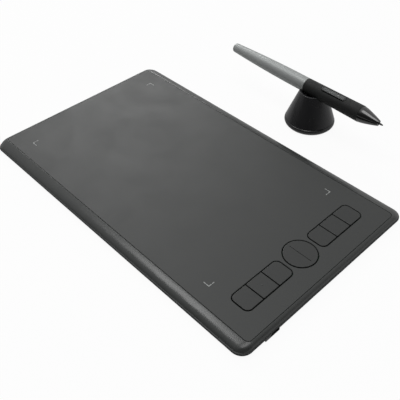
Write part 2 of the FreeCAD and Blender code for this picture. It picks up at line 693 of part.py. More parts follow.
def bottom_shell_cuts():
    """Tools for the screw holes, the foot recesses, the cable socket and the room of the main board."""
    below = FLOOR_BOTTOM - CUT_MARGIN
    above = PARTING_HEIGHT + LIP_HEIGHT + CUT_MARGIN
    tools = []
    for x, y in screw_places():
        tools.append(upright(SCREW_HEAD_DIAMETER + 2 * SCREW_HOLE_CLEARANCE, below, FLOOR_TOP, x, y))
        tools.append(upright(SCREW_THREAD_DIAMETER + 2 * SCREW_HOLE_CLEARANCE, below,
                             BOSS_JOINT_HEIGHT + CUT_MARGIN, x, y))
    for x, y in foot_places():
        tools.append(round_ended(FOOT_LENGTH / 2 + FOOT_CLEARANCE, FOOT_WIDTH / 2 + FOOT_CLEARANCE,
                                 below, FLOOR_BOTTOM + FOOT_RECESS, x, y))
    tools.append(socket_tube(SOCKET_CLEARANCE, SOCKET_BACK_X - SOCKET_BACK_RELIEF,
                             HALF_LENGTH + CUT_MARGIN))
    tab_start = SOCKET_BACK_X + SOCKET_TAB_SETBACK
    tab_half_width = SOCKET_WIDTH / 2 + SOCKET_TAB_REACH + SOCKET_CLEARANCE
    tools.append(block(tab_start - SOCKET_CLEARANCE, tab_start + SOCKET_TAB_LENGTH + SOCKET_CLEARANCE,
                       SOCKET_CENTRE_Y - tab_half_width, SOCKET_CENTRE_Y + tab_half_width,
                       BOARD_TOP - SOCKET_CLEARANCE, above))
    tools.append(centred_plate(MAIN_BOARD_WIDTH / 2 + BOARD_CLEARANCE,
                               MAIN_BOARD_LENGTH / 2 + BOARD_CLEARANCE, BOARD_CORNER_RADIUS,
                               BOARD_BOTTOM, above, MAIN_BOARD_CENTRE_X, 0.0))
    return tools


def make_bottom_shell():
    """Lower shell: rolled edge, flat floor with ribs, bosses, foot recesses and the socket boss."""
    cavity = centred_plate(HALF_LENGTH - BOTTOM_WALL_SHORT_SIDE, HALF_WIDTH - BOTTOM_WALL_LONG_SIDE,
                           CAVITY_CORNER_RADIUS, FLOOR_TOP, PARTING_HEIGHT + CUT_MARGIN)
    rim_length = HALF_LENGTH - PARTING_INSET_SHORT_SIDE - PARTING_GROOVE_DEPTH
    rim_width = HALF_WIDTH - PARTING_INSET_LONG_SIDE - PARTING_GROOVE_DEPTH
    rim = centred_plate(rim_length, rim_width, EDGE_CORNER_RADIUS - PARTING_INSET_LONG_SIDE,
                        PARTING_HEIGHT - PARTING_GROOVE, PARTING_HEIGHT)
    tray = without(joined([bottom_shell_outer(), rim]), [cavity])
    bosses = [upright(BOSS_DIAMETER, FLOOR_BOTTOM, BOSS_JOINT_HEIGHT, x, y) for x, y in screw_places()]
    tray = joined([tray, shell_lip(), socket_boss()] + bosses + floor_ribs())
    return without(tray, bottom_shell_cuts())


def make_foot(x, y):
    """Rubber foot, stuck in its recess."""
    return round_ended(FOOT_LENGTH / 2, FOOT_WIDTH / 2, FLOOR_BOTTOM - FOOT_PROUD,
                       FLOOR_BOTTOM + FOOT_RECESS, x, y)


def screw_tip_height():
    """Height of the tip of a case screw."""
    return FLOOR_TOP + SCREW_LENGTH


def make_case_screws():
    """Pan-head case screws, put in from below."""
    screws = []
    seat = FLOOR_TOP
    for x, y in screw_places():
        head = upright(SCREW_HEAD_DIAMETER, seat - SCREW_HEAD_HEIGHT, seat, x, y)
        thread = upright(SCREW_THREAD_DIAMETER, seat, screw_tip_height(), x, y)
        cross = []
        for length, width in ((SCREW_SLOT_SIZE, SCREW_SLOT_DEPTH), (SCREW_SLOT_DEPTH, SCREW_SLOT_SIZE)):
            cross.append(centred_block(length, width, seat - SCREW_HEAD_HEIGHT - CUT_MARGIN,
                                       seat - SCREW_HEAD_HEIGHT + SCREW_SLOT_DEPTH, x, y))
        screws.append(without(joined([head, thread]), cross))
    return Part.makeCompound(screws)


def make_sensor_board():
    """Wide board with the antenna grid, held to the underside of the deck."""
    return plate(SENSOR_BOARD_LOW_X, SENSOR_BOARD_HIGH_X, -SENSOR_BOARD_HALF_WIDTH,
                 SENSOR_BOARD_HALF_WIDTH, SENSOR_BOARD_BOTTOM, DECK_BOTTOM, (BOARD_CORNER_RADIUS,) * 4)


def make_shield_plate():
    """Thin steel sheet behind the sensor board, short of its connector."""
    return plate(SHIELD_LOW_X, SHIELD_HIGH_X, -SHIELD_HALF_WIDTH, SHIELD_HALF_WIDTH, SHIELD_BOTTOM,
                 SENSOR_BOARD_BOTTOM, (BOARD_CORNER_RADIUS,) * 4)


def make_main_board():
    """Board under the keys, notched for the cable socket."""
    board = centred_plate(MAIN_BOARD_WIDTH / 2, MAIN_BOARD_LENGTH / 2, BOARD_CORNER_RADIUS, BOARD_BOTTOM,
                          BOARD_TOP, MAIN_BOARD_CENTRE_X, 0.0)
    half_width = SOCKET_WIDTH / 2 + SOCKET_CLEARANCE
    notch = block(SOCKET_BACK_X - SOCKET_CLEARANCE, HALF_LENGTH, SOCKET_CENTRE_Y - half_width,
                  SOCKET_CENTRE_Y + half_width, BOARD_BOTTOM - CUT_MARGIN, BOARD_TOP + CUT_MARGIN)
    return without(board, [notch])


def make_key_switches():
    """Low tact switches, one under each key and one under each end of the round key."""
    switches = []
    for y in switch_places():
        body = centred_block(SWITCH_SIZE, SWITCH_SIZE, BOARD_TOP, BOARD_TOP + SWITCH_BODY_HEIGHT,
                             KEY_CENTRE_X, y)
        plunger = upright(SWITCH_PLUNGER_DIAMETER, BOARD_TOP + SWITCH_BODY_HEIGHT, SWITCH_TOP,
                          KEY_CENTRE_X, y)
        switches.append(joined([body, plunger]))
    return Part.makeCompound(switches)


def make_controller_chip():
    """Main controller, beside the keys."""
    return centred_block(CHIP_SIZE, CHIP_SIZE, BOARD_TOP, BOARD_TOP + CHIP_HEIGHT,
                         MAIN_BOARD_CENTRE_X + CHIP_OFFSET_X, CHIP_OFFSET_Y)


def make_crystal():
    """Clock crystal next to the controller."""
    y = CHIP_OFFSET_Y + CHIP_SIZE / 2 + CRYSTAL_GAP + CRYSTAL_LENGTH / 2
    return centred_block(CRYSTAL_WIDTH, CRYSTAL_LENGTH, BOARD_TOP, BOARD_TOP + CRYSTAL_HEIGHT,
                         MAIN_BOARD_CENTRE_X + CHIP_OFFSET_X, y)


def make_multiplexer_chips():
    """Row of chips that switch the antenna lines."""
    x = MAIN_BOARD_INNER_X + MULTIPLEXER_INSET + MULTIPLEXER_WIDTH / 2
    pitch = MULTIPLEXER_LENGTH + MULTIPLEXER_GAP
    start = CONNECTOR_LENGTH / 2 + MULTIPLEXER_GAP + MULTIPLEXER_LENGTH / 2
    chips = []
    for index in range(MULTIPLEXER_COUNT):
        y = start + index * pitch
        chips.append(centred_block(MULTIPLEXER_WIDTH, MULTIPLEXER_LENGTH, BOARD_TOP,
                                   BOARD_TOP + CHIP_HEIGHT, x, y))
    return Part.makeCompound(chips)


def cable_connector_edges():
    """X of the cable mouths of the connectors on the sensor board and on the main board."""
    return SHIELD_HIGH_X + CONNECTOR_INSET + CONNECTOR_DEPTH, MAIN_BOARD_INNER_X + CONNECTOR_INSET


def make_cable_connectors():
    """The two flat-cable connectors, one under the sensor board and one on the main board."""
    sensor_mouth, board_mouth = cable_connector_edges()
    low = CONNECTOR_CENTRE_Y - CONNECTOR_LENGTH / 2
    high = CONNECTOR_CENTRE_Y + CONNECTOR_LENGTH / 2
    on_sensor = block(sensor_mouth - CONNECTOR_DEPTH, sensor_mouth, low, high,
                      SENSOR_BOARD_BOTTOM - CONNECTOR_HEIGHT, SENSOR_BOARD_BOTTOM)
    on_board = block(board_mouth, board_mouth + CONNECTOR_DEPTH, low, high, BOARD_TOP,
                     BOARD_TOP + CONNECTOR_HEIGHT)
    return Part.makeCompound([on_sensor, on_board])


def make_flat_cable():
    """Flat cable between the two connectors, with one slanted run."""
    sensor_mouth, board_mouth = cable_connector_edges()
    high = SENSOR_BOARD_BOTTOM - CONNECTOR_HEIGHT / 2
    low = BOARD_TOP + CONNECTOR_HEIGHT / 2
    line = ((sensor_mouth, high), (sensor_mouth + FLAT_CABLE_END_RUN, high),
            (board_mouth - FLAT_CABLE_END_RUN, low), (board_mouth, low))
    half = FLAT_CABLE_THICKNESS / 2
    side = CONNECTOR_CENTRE_Y - FLAT_CABLE_WIDTH / 2
    points = [Vector(x, side, z + half) for x, z in line]
    points += [Vector(x, side, z - half) for x, z in reversed(line)]
    face = Part.Face(Part.makePolygon(points + points[:1]))
    return face.extrude(ACROSS * FLAT_CABLE_WIDTH)


def make_socket_shell():
    """Metal shell of the cable socket, open at its outer end, with side tabs on the board."""
    mouth = socket_tube(-SOCKET_WALL, SOCKET_BACK_X + SOCKET_WALL, SOCKET_FRONT_X + CUT_MARGIN)
    tube = without(socket_tube(0.0, SOCKET_BACK_X, SOCKET_FRONT_X), [mouth])
    tab_start = SOCKET_BACK_X + SOCKET_TAB_SETBACK
    tabs = []
    for side in (-1, 1):
        inner = SOCKET_CENTRE_Y + side * (SOCKET_WIDTH / 2 - 2 * SOCKET_WALL)
        outer = SOCKET_CENTRE_Y + side * (SOCKET_WIDTH / 2 + SOCKET_TAB_REACH)
        tabs.append(block(tab_start, tab_start + SOCKET_TAB_LENGTH, min(inner, outer), max(inner, outer),
                          BOARD_TOP, BOARD_TOP + SOCKET_TAB_THICKNESS))
    return joined([tube] + tabs)


def make_socket_tongue():
    """Contact tongue in the middle of the socket."""
    back = SOCKET_BACK_X + SOCKET_WALL
    half = SOCKET_TONGUE_THICKNESS / 2
    half_width = SOCKET_TONGUE_WIDTH / 2
    tongue = block(back, back + SOCKET_WALL + SOCKET_TONGUE_REACH, SOCKET_CENTRE_Y - half_width,
                   SOCKET_CENTRE_Y + half_width, SOCKET_CENTRE_HEIGHT - half, SOCKET_CENTRE_HEIGHT + half)
    root_growth = -SOCKET_WALL - SOCKET_CLEARANCE
    return joined([tongue, socket_tube(root_growth, back, back + SOCKET_ROOT_DEPTH)])


def make_key(index):
    """Press key: cap with a retaining flange and a post over its switch."""
    middle, low, high = key_slots()[index]
    half_width = KEY_GROUP_WIDTH / 2 - KEY_GAP
    outer = KEY_GROUP_CORNER_RADIUS - KEY_GAP
    inner = KEY_INNER_CORNER_RADIUS
    place = index % KEYS_PER_GROUP
    low_radius = outer if place == 0 else inner
    high_radius = outer if place == KEYS_PER_GROUP - 1 else inner
    radii = (low_radius, low_radius, high_radius, high_radius)
    cap = plate(KEY_CENTRE_X - half_width, KEY_CENTRE_X + half_width, low, high, KEY_FLANGE_BOTTOM,
                KEY_TOP, radii)
    cap = softened(cap, KEY_EDGE_RADIUS, lies_at(KEY_TOP))
    reach = half_width + KEY_GAP + KEY_FLANGE_REACH
    flange_low = low + (KEY_FLANGE_TRIM if place == 0 else 0.0)
    flange_high = high - (KEY_FLANGE_TRIM if place == KEYS_PER_GROUP - 1 else 0.0)
    flange = block(KEY_CENTRE_X - reach, KEY_CENTRE_X + reach, flange_low, flange_high,
                   KEY_FLANGE_BOTTOM, KEY_FLANGE_TOP)
    post = upright(KEY_POST_DIAMETER, KEY_POST_BOTTOM, KEY_FLANGE_BOTTOM, KEY_CENTRE_X, middle)
    return joined([cap, flange, post])


def make_round_key():
    """Round rocker key: hollow disc with an engraved line, two pivots and two posts."""
    cap = upright(ROUND_KEY_DIAMETER, ROUND_KEY_BOTTOM, KEY_TOP, KEY_CENTRE_X, 0.0)
    cap = softened(cap, KEY_EDGE_RADIUS, lies_at(KEY_TOP))
    hollow = upright(ROUND_KEY_DIAMETER - 2 * ROUND_KEY_WALL, ROUND_KEY_BOTTOM - CUT_MARGIN,
                     KEY_TOP - ROUND_KEY_TOP_THICKNESS, KEY_CENTRE_X, 0.0)
    line = round_ended(ROUND_KEY_LINE_LENGTH / 2, ROUND_KEY_LINE_WIDTH / 2,
                       KEY_TOP - ROUND_KEY_LINE_DEPTH, KEY_TOP + CUT_MARGIN, KEY_CENTRE_X, 0.0)
    cap = without(cap, [hollow, line])
    drop = ROUND_KEY_POST_OFFSET * math.sin(math.radians(ROUND_KEY_TILT))
    post_bottom = SWITCH_TOP + drop + 2 * POST_END_CLEARANCE
    parts = [cap]
    for side in (-1, 1):
        parts.append(upright(KEY_POST_DIAMETER, post_bottom, KEY_TOP - ROUND_KEY_TOP_THICKNESS,
                             KEY_CENTRE_X, side * ROUND_KEY_POST_OFFSET))
        inner = ROUND_KEY_DIAMETER / 2 - ROUND_KEY_WALL / 2
        start = Vector(KEY_CENTRE_X + side * inner, 0, PIVOT_HEIGHT)
        length = ROUND_KEY_WALL / 2 + PIVOT_REACH
        parts.append(Part.makeCylinder(PIVOT_DIAMETER / 2, length, start, ALONG * side))
    return joined(parts)


def station_x(station):
    """X of a distance along the pen from its rear end."""
    return PEN_TAIL_X + station


def pen_turned(profile):
    """Solid turned about the pen's axis from points of station and radius, closed on the axis."""
    points = [PEN_AXIS + Vector(station_x(station), 0, radius) for station, radius in profile]
    face = Part.Face(Part.makePolygon(points + points[:1]))
    return face.revolve(PEN_AXIS, ALONG, 360)


def pen_rod(first_station, last_station, diameter):
    """Cylinder along the pen's axis between two stations."""
    start = PEN_AXIS + ALONG * station_x(first_station)
    return Part.makeCylinder(diameter / 2, last_station - first_station, start, ALONG)


def pen_curved(first_station, last_station, steps, radius_at):
    """Solid turned about the pen's axis under a smooth curve of radius along the pen."""
    span = last_station - first_station
    stations = [first_station + span * index / steps for index in range(steps + 1)]
    rim = [PEN_AXIS + Vector(station_x(station), 0, radius_at(station)) for station in stations]
    curve = Part.BSplineCurve()
    curve.interpolate(rim)
    rear = PEN_AXIS + ALONG * station_x(first_station)
    front = PEN_AXIS + ALONG * station_x(last_station)
    edges = [Part.makeLine(rear, rim[0]), curve.toShape(), Part.makeLine(rim[-1], front),
             Part.makeLine(front, rear)]
    return Part.Face(Part.Wire(edges)).revolve(PEN_AXIS, ALONG, 360)


def barrel_radius(station):
    """Outer radius of the tapered barrel, which bulges most midway."""
    share = station / PEN_JUNCTION_STATION
    straight = (PEN_TAIL_DIAMETER + share * (BARREL_FRONT_DIAMETER - PEN_TAIL_DIAMETER)) / 2
    return straight + 4 * BARREL_BULGE * share * (1 - share)


def grip_radius(station):
    """Outer radius of the tapered grip."""
    return GRIP_REAR_DIAMETER / 2 + GRIP_SLOPE * (station - PEN_JUNCTION_STATION)


def make_pen_barrel():
    """Slim tapered barrel, closed at its rear end and bored for the carrier at its front."""
    outer = pen_curved(0, PEN_JUNCTION_STATION, BARREL_STEPS, barrel_radius)
    tail_x = station_x(0)
    outer = softened(outer, PEN_TAIL_ROUNDING, lambda edge: edge.BoundBox.XMax < tail_x + SAME_PLACE)
    seat = PEN_JUNCTION_STATION - CARRIER_SPIGOT_LENGTH
    hollow = pen_turned([(2 * BARREL_WALL, 0), (2 * BARREL_WALL, barrel_radius(0) - BARREL_WALL),
                         (seat, barrel_radius(seat) - BARREL_WALL - BARREL_SEAT_THICKENING), (seat, 0)])
    bore = pen_rod(seat - CARRIER_END_GAP, PEN_JUNCTION_STATION + CUT_MARGIN,
                   CARRIER_SPIGOT_DIAMETER + 2 * PEN_FIT_CLEARANCE)
    return without(outer, [hollow, bore])


def rocker_centre_x():
    """X of the middle and pivot of the pen rocker."""
    return station_x(ROCKER_REAR_STATION + ROCKER_LENGTH / 2)


def rocker_slot(growth, z_low, z_high):
    """Upright slot with round ends around the rocker."""
    return round_ended(ROCKER_LENGTH / 2 + growth, ROCKER_WIDTH / 2 + growth, PEN_AXIS_HEIGHT + z_low,
                       PEN_AXIS_HEIGHT + z_high, rocker_centre_x(), STAND_CENTRE_Y)


def rocker_pivot(radius, reach):
    """Cross pin of the rocker, centred on the pen."""
    start = Vector(rocker_centre_x(), STAND_CENTRE_Y - reach, PEN_AXIS_HEIGHT + ROCKER_PIVOT_OFFSET)
    return Part.makeCylinder(radius, 2 * reach, start, ACROSS)


def make_pen_grip():
    """Soft grip sleeve, widest at its front, slotted on top for the rocker."""
    profile = [
        (PEN_JUNCTION_STATION, 0),
        (PEN_JUNCTION_STATION, GRIP_REAR_DIAMETER / 2 - GRIP_REAR_BEVEL),
        (PEN_JUNCTION_STATION + GRIP_REAR_BEVEL, grip_radius(PEN_JUNCTION_STATION + GRIP_REAR_BEVEL)),
        (GRIP_FRONT_STATION - GRIP_FRONT_BEVEL, grip_radius(GRIP_FRONT_STATION - GRIP_FRONT_BEVEL)),
        (GRIP_FRONT_STATION, GRIP_FRONT_DIAMETER / 2 - GRIP_FRONT_BEVEL),
        (GRIP_FRONT_STATION, 0),
    ]
    bore = pen_rod(PEN_JUNCTION_STATION - CUT_MARGIN, GRIP_FRONT_STATION + CUT_MARGIN, GRIP_BORE_DIAMETER)
    slot = rocker_slot(ROCKER_GAP, 0, GRIP_FRONT_DIAMETER)
    pivot_reach = ROCKER_WIDTH / 2 + ROCKER_PIVOT_REACH + 2 * PIVOT_CLEARANCE
    pivot = rocker_pivot(PIVOT_DIAMETER / 2 + PIVOT_CLEARANCE, pivot_reach)
    return without(pen_turned(profile), [bore, slot, pivot])


def cone_radius(station):
    """Outer radius of the tip cone, which narrows slowly at its rear and faster towards its end."""
    share = (station - GRIP_FRONT_STATION) / (CONE_END_STATION - GRIP_FRONT_STATION)
    start = GRIP_FRONT_DIAMETER / 2 - CONE_REAR_STEP
    return start - (start - CONE_END_DIAMETER / 2) * share ** CONE_FULLNESS


def make_pen_cone():
    """Tip cone with a spigot in the grip, a bore for the coil and a hole for the nib."""
    cone = pen_curved(GRIP_FRONT_STATION, CONE_END_STATION, CONE_STEPS, cone_radius)
    spigot_rear = GRIP_FRONT_STATION - CONE_SPIGOT_LENGTH
    spigot = pen_rod(spigot_rear, GRIP_FRONT_STATION, GRIP_BORE_DIAMETER - 2 * PEN_FIT_CLEARANCE)
    coil_bore = pen_rod(spigot_rear - CUT_MARGIN, GRIP_FRONT_STATION + CONE_BORE_DEPTH, CONE_BORE_DIAMETER)
    ferrite_end = ferrite_stations()[1] + FERRITE_FRONT_GAP
    ferrite_bore = pen_rod(spigot_rear, ferrite_end, FERRITE_DIAMETER + 2 * PEN_FIT_CLEARANCE)
    nib_bore = pen_rod(spigot_rear, CONE_END_STATION + CUT_MARGIN, NIB_DIAMETER + 2 * NIB_RUNNING_CLEARANCE)
    return without(joined([cone, spigot]), [coil_bore, ferrite_bore, nib_bore])


def nib_rear_station():
    """Station of the rear end of the nib."""
    return PEN_LENGTH - NIB_LENGTH


def holder_stations():
    """Rear and front stations of the nib holder."""
    front = nib_rear_station() + NIB_HOLDER_GRIP
    return front - NIB_HOLDER_LENGTH, front


def ferrite_stations():
    """Rear and front stations of the ferrite core, which starts at the front of the carrier."""
    rear = GRIP_FRONT_STATION - CONE_SPIGOT_LENGTH
    return rear, rear + FERRITE_LENGTH


def nib_profile():
    """Distance from the rear end and radius of the nib, with a rounded tip made of short steps."""
    radius = NIB_DIAMETER / 2
    points = [(0, 0), (0, radius), (NIB_LENGTH - NIB_TAPER_LENGTH, radius)]
    for step in range(NIB_TIP_STEPS + 1):
        turn = (90.0 - NIB_TIP_START_ANGLE) * step / NIB_TIP_STEPS
        angle = math.radians(NIB_TIP_START_ANGLE + turn)
        points.append((NIB_LENGTH - NIB_TIP_RADIUS + NIB_TIP_RADIUS * math.sin(angle),
                       NIB_TIP_RADIUS * math.cos(angle)))
    return points


def make_pen_nib():
    """Replaceable nib in the tip of the pen."""
    rear = nib_rear_station()
    return pen_turned([(rear + distance, radius) for distance, radius in nib_profile()])


def make_nib_holder():
    """Plunger that holds the nib and passes its force through the core to the sensor."""
    rear, front = holder_stations()
    rod = pen_rod(rear, front, NIB_HOLDER_DIAMETER)
    socket = pen_rod(nib_rear_station(), front + CUT_MARGIN, NIB_DIAMETER + 2 * PEN_FIT_CLEARANCE)
    return without(rod, [socket])


def make_pen_core():
    """Ferrite tube around the nib holder."""
    rear, front = ferrite_stations()
    bore = pen_rod(rear - CUT_MARGIN, front + CUT_MARGIN, NIB_HOLDER_DIAMETER + 2 * NIB_RUNNING_CLEARANCE)
    return without(pen_rod(rear, front, FERRITE_DIAMETER), [bore])


def make_pen_coil():
    """Wound coil on the ferrite tube."""
    rear, front = ferrite_stations()
    middle = (rear + GRIP_FRONT_STATION + CONE_BORE_DEPTH) / 2
    outer = pen_rod(middle - COIL_LENGTH / 2, middle + COIL_LENGTH / 2, COIL_DIAMETER)
    return without(outer, [pen_rod(rear, front, FERRITE_DIAMETER + 2 * PEN_FIT_CLEARANCE)])


def make_pressure_sensor():
    """Disc that feels the force on the nib, behind the nib holder."""
    rear = holder_stations()[0]
    front = rear - NIB_TRAVEL - PRESSURE_SENSOR_GAP
    return pen_rod(front - PRESSURE_SENSOR_LENGTH, front, CARRIER_BORE_DIAMETER - 2 * PEN_FIT_CLEARANCE)


def make_pen_carrier():
    """Inner tube that joins the barrel and the grip and holds the board and the sensor."""
    rear = PEN_JUNCTION_STATION - CARRIER_SPIGOT_LENGTH
    front = GRIP_FRONT_STATION - CONE_SPIGOT_LENGTH
    spigot = pen_rod(rear, PEN_JUNCTION_STATION, CARRIER_SPIGOT_DIAMETER)
    body = pen_rod(PEN_JUNCTION_STATION, front, GRIP_BORE_DIAMETER - 2 * PEN_FIT_CLEARANCE)
    shoulder = PEN_JUNCTION_STATION + CARRIER_SHOULDER
    bore = pen_rod(shoulder, front + CUT_MARGIN, CARRIER_BORE_DIAMETER)
    slot = rocker_slot(ROCKER_GAP, PEN_BOARD_TOP_OFFSET, GRIP_FRONT_DIAMETER)
    rear_hole = pen_rod(rear - CUT_MARGIN, shoulder + CUT_MARGIN,
                        CARRIER_SPIGOT_DIAMETER - 2 * CARRIER_SPIGOT_WALL)
    return without(joined([spigot, body]), [bore, slot, rear_hole])


def pen_board_stations():
    """Rear and front stations of the pen board, which ends at the pressure sensor."""
    sensor_rear = holder_stations()[0] - NIB_TRAVEL - PRESSURE_SENSOR_GAP - PRESSURE_SENSOR_LENGTH
    return sensor_rear - PEN_BOARD_LENGTH, sensor_rear


def make_pen_board():
    """Narrow board across the bore of the carrier."""
    rear, front = pen_board_stations()
    top = PEN_AXIS_HEIGHT + PEN_BOARD_TOP_OFFSET
    return block(station_x(rear), station_x(front), STAND_CENTRE_Y - PEN_BOARD_WIDTH / 2,
                 STAND_CENTRE_Y + PEN_BOARD_WIDTH / 2, top - BOARD_THICKNESS, top)


def pen_switch_top():
    """Height of the plungers of the pen's switches over its axis."""
    return PEN_BOARD_TOP_OFFSET + PEN_SWITCH_HEIGHT + PEN_SWITCH_PLUNGER_HEIGHT


def make_pen_switches():
    """Two small switches under the ends of the rocker."""
    switches = []
    low = PEN_AXIS_HEIGHT + PEN_BOARD_TOP_OFFSET
    for side in (-1, 1):
        x = rocker_centre_x() + side * ROCKER_POST_SPACING
        body = centred_block(PEN_SWITCH_LENGTH, PEN_SWITCH_WIDTH, low, low + PEN_SWITCH_HEIGHT, x,
                             STAND_CENTRE_Y)
        plunger = upright(ROCKER_POST_DIAMETER, low + PEN_SWITCH_HEIGHT, PEN_AXIS_HEIGHT + pen_switch_top(),
                          x, STAND_CENTRE_Y)
        switches.append(joined([body, plunger]))
    return Part.makeCompound(switches)


def make_pen_rocker():
    """Side switch of the pen: a bar that rocks on a cross pin over two switches."""
    surface = PEN_AXIS_HEIGHT + grip_radius(ROCKER_REAR_STATION + ROCKER_LENGTH / 2)
    crown = surface + ROCKER_PROUD
    above = centred_block(2 * ROCKER_LENGTH, 2 * ROCKER_WIDTH, crown, crown + GRIP_FRONT_DIAMETER,
                          rocker_centre_x(), STAND_CENTRE_Y)
    above.rotate(Vector(rocker_centre_x(), STAND_CENTRE_Y, crown), ACROSS,
                 -math.degrees(math.atan(GRIP_SLOPE)))
    bar = without(rocker_slot(0.0, ROCKER_BOTTOM_OFFSET, GRIP_FRONT_DIAMETER), [above])
    bar = softened(bar, ROCKER_EDGE_RADIUS, lambda edge: edge.BoundBox.ZMin > surface - ROCKER_PROUD)
    drop = ROCKER_POST_SPACING * math.sin(math.radians(ROCKER_TILT))
    post_low = PEN_AXIS_HEIGHT + pen_switch_top() + drop + 2 * POST_END_CLEARANCE
    parts = [bar, rocker_pivot(PIVOT_DIAMETER / 2, ROCKER_WIDTH / 2 + ROCKER_PIVOT_REACH)]
    for side in (-1, 1):
        x = rocker_centre_x() + side * ROCKER_POST_SPACING
        parts.append(upright(ROCKER_POST_DIAMETER, post_low, PEN_AXIS_HEIGHT + ROCKER_BOTTOM_OFFSET, x,
                             STAND_CENTRE_Y))
    return joined(parts)


def stand_turned(profile):
    """Solid turned about the stand's upright axis from points of radius and height."""
    points = [STAND_AXIS + Vector(radius, 0, height) for radius, height in profile]
    face = Part.Face(Part.makePolygon(points + points[:1]))
    return face.revolve(STAND_AXIS, UP, 360)


def stand_rod(diameter, z_low, z_high):
    """Cylinder on the stand's axis."""
    return upright(diameter, z_low, z_high, STAND_CENTRE_X, STAND_CENTRE_Y)


def stand_radius(height):
    """Outer radius of the stand's cone."""
    return STAND_EDGE_DIAMETER / 2 - STAND_SLOPE * (height - STAND_EDGE_HEIGHT)


def saddle_tool():
    """Long bar that cuts the notches for the pen, sloped like the underside of the grip."""
    front_x = STAND_CENTRE_X + stand_radius(PEN_AXIS_HEIGHT - grip_radius(PEN_JUNCTION_STATION))
    contact = grip_radius(front_x - PEN_TAIL_X)
    bottom = PEN_AXIS_HEIGHT - contact - SADDLE_CLEARANCE
    reach = STAND_EDGE_DIAMETER
    start = Vector(front_x - 2 * reach, STAND_CENTRE_Y, bottom + SADDLE_RADIUS)
    tool = Part.makeCylinder(SADDLE_RADIUS, 3 * reach, start, ALONG)
    tool.rotate(Vector(front_x, STAND_CENTRE_Y, bottom), ACROSS, math.degrees(math.atan(GRIP_SLOPE)))
    return tool


def lug_sector(angle, growth, z_low, z_high, reach_growth):
    """Pair of ring sectors opposite each other on the spigot, turned to an angle."""
    inner = STAND_SPIGOT_DIAMETER / 2 - STAND_SPIGOT_WALL
    outer = STAND_SPIGOT_DIAMETER / 2 + BAYONET_LUG_REACH + reach_growth
    width = BAYONET_LUG_ANGLE + 2 * growth
    sectors = []
    for half_turn in (0.0, 180.0):
        sector = Part.makeCylinder(outer, z_high - z_low, STAND_AXIS + UP * z_low, UP, width)
        sector.rotate(STAND_AXIS, UP, angle + half_turn - width / 2)
        core = Part.makeCylinder(inner, z_high - z_low, STAND_AXIS + UP * z_low, UP)
        sectors.append(without(sector, [core]))
    return sectors


def lug_heights():
    """Lower and upper height of the bayonet lugs."""
    low = STAND_FLOOR_TOP + BAYONET_LUG_RISE
    return low, low + BAYONET_LUG_HEIGHT


def bowl_tool():
    """Shallow bowl inside the rim of the stand."""
    radius = stand_radius(STAND_RIM_HEIGHT) - STAND_RIM_WIDTH
    floor = STAND_RIM_HEIGHT - STAND_BOWL_DEPTH
    return stand_turned([
        (0, floor),
        (STAND_BOWL_FLOOR_DIAMETER / 2, floor),
        (radius, STAND_RIM_HEIGHT),
        (radius, STAND_RIM_HEIGHT + CUT_MARGIN),
        (0, STAND_RIM_HEIGHT + CUT_MARGIN),
    ])


def make_stand_body():
    """Cone-shaped upper part of the stand, hollow, with a bowl and two notches for the pen."""
    low = STAND_SEAM_HEIGHT + STAND_SEAM_GAP
    outer = stand_turned([
        (0, low),
        (stand_radius(low) - STAND_SEAM_BEVEL, low),
        (stand_radius(low + STAND_SEAM_BEVEL), low + STAND_SEAM_BEVEL),
        (stand_radius(STAND_RIM_HEIGHT), STAND_RIM_HEIGHT),
        (0, STAND_RIM_HEIGHT),
    ])
    outer = without(outer, [bowl_tool(), saddle_tool()])
    outer = softened(outer, STAND_RIM_ROUNDING, lies_at(STAND_RIM_HEIGHT))
    bore_top = STAND_FLOOR_TOP + STAND_SPIGOT_HEIGHT + STAND_SPIGOT_CLEARANCE
    bore = stand_rod(STAND_SPIGOT_DIAMETER + 2 * STAND_SPIGOT_CLEARANCE, low - CUT_MARGIN, bore_top)
    cavity = stand_turned([
        (0, bore_top),
        (STAND_SPIGOT_DIAMETER / 2 + STAND_SPIGOT_CLEARANCE, bore_top),
        (STAND_CAVITY_TOP_DIAMETER / 2, STAND_CAVITY_TOP_HEIGHT),
        (0, STAND_CAVITY_TOP_HEIGHT),
    ])
    lug_low, lug_high = lug_heights()
    channel_reach = STAND_SPIGOT_DIAMETER / 2 + BAYONET_LUG_REACH + STAND_SPIGOT_CLEARANCE
    channel = stand_rod(2 * channel_reach, lug_low - STAND_SPIGOT_CLEARANCE,
                        lug_high + STAND_SPIGOT_CLEARANCE)
    slots = lug_sector(BAYONET_TURN, BAYONET_SLOT_MARGIN, low - CUT_MARGIN, lug_high,
                       STAND_SPIGOT_CLEARANCE)
    return without(outer, [bore, cavity, channel] + slots)


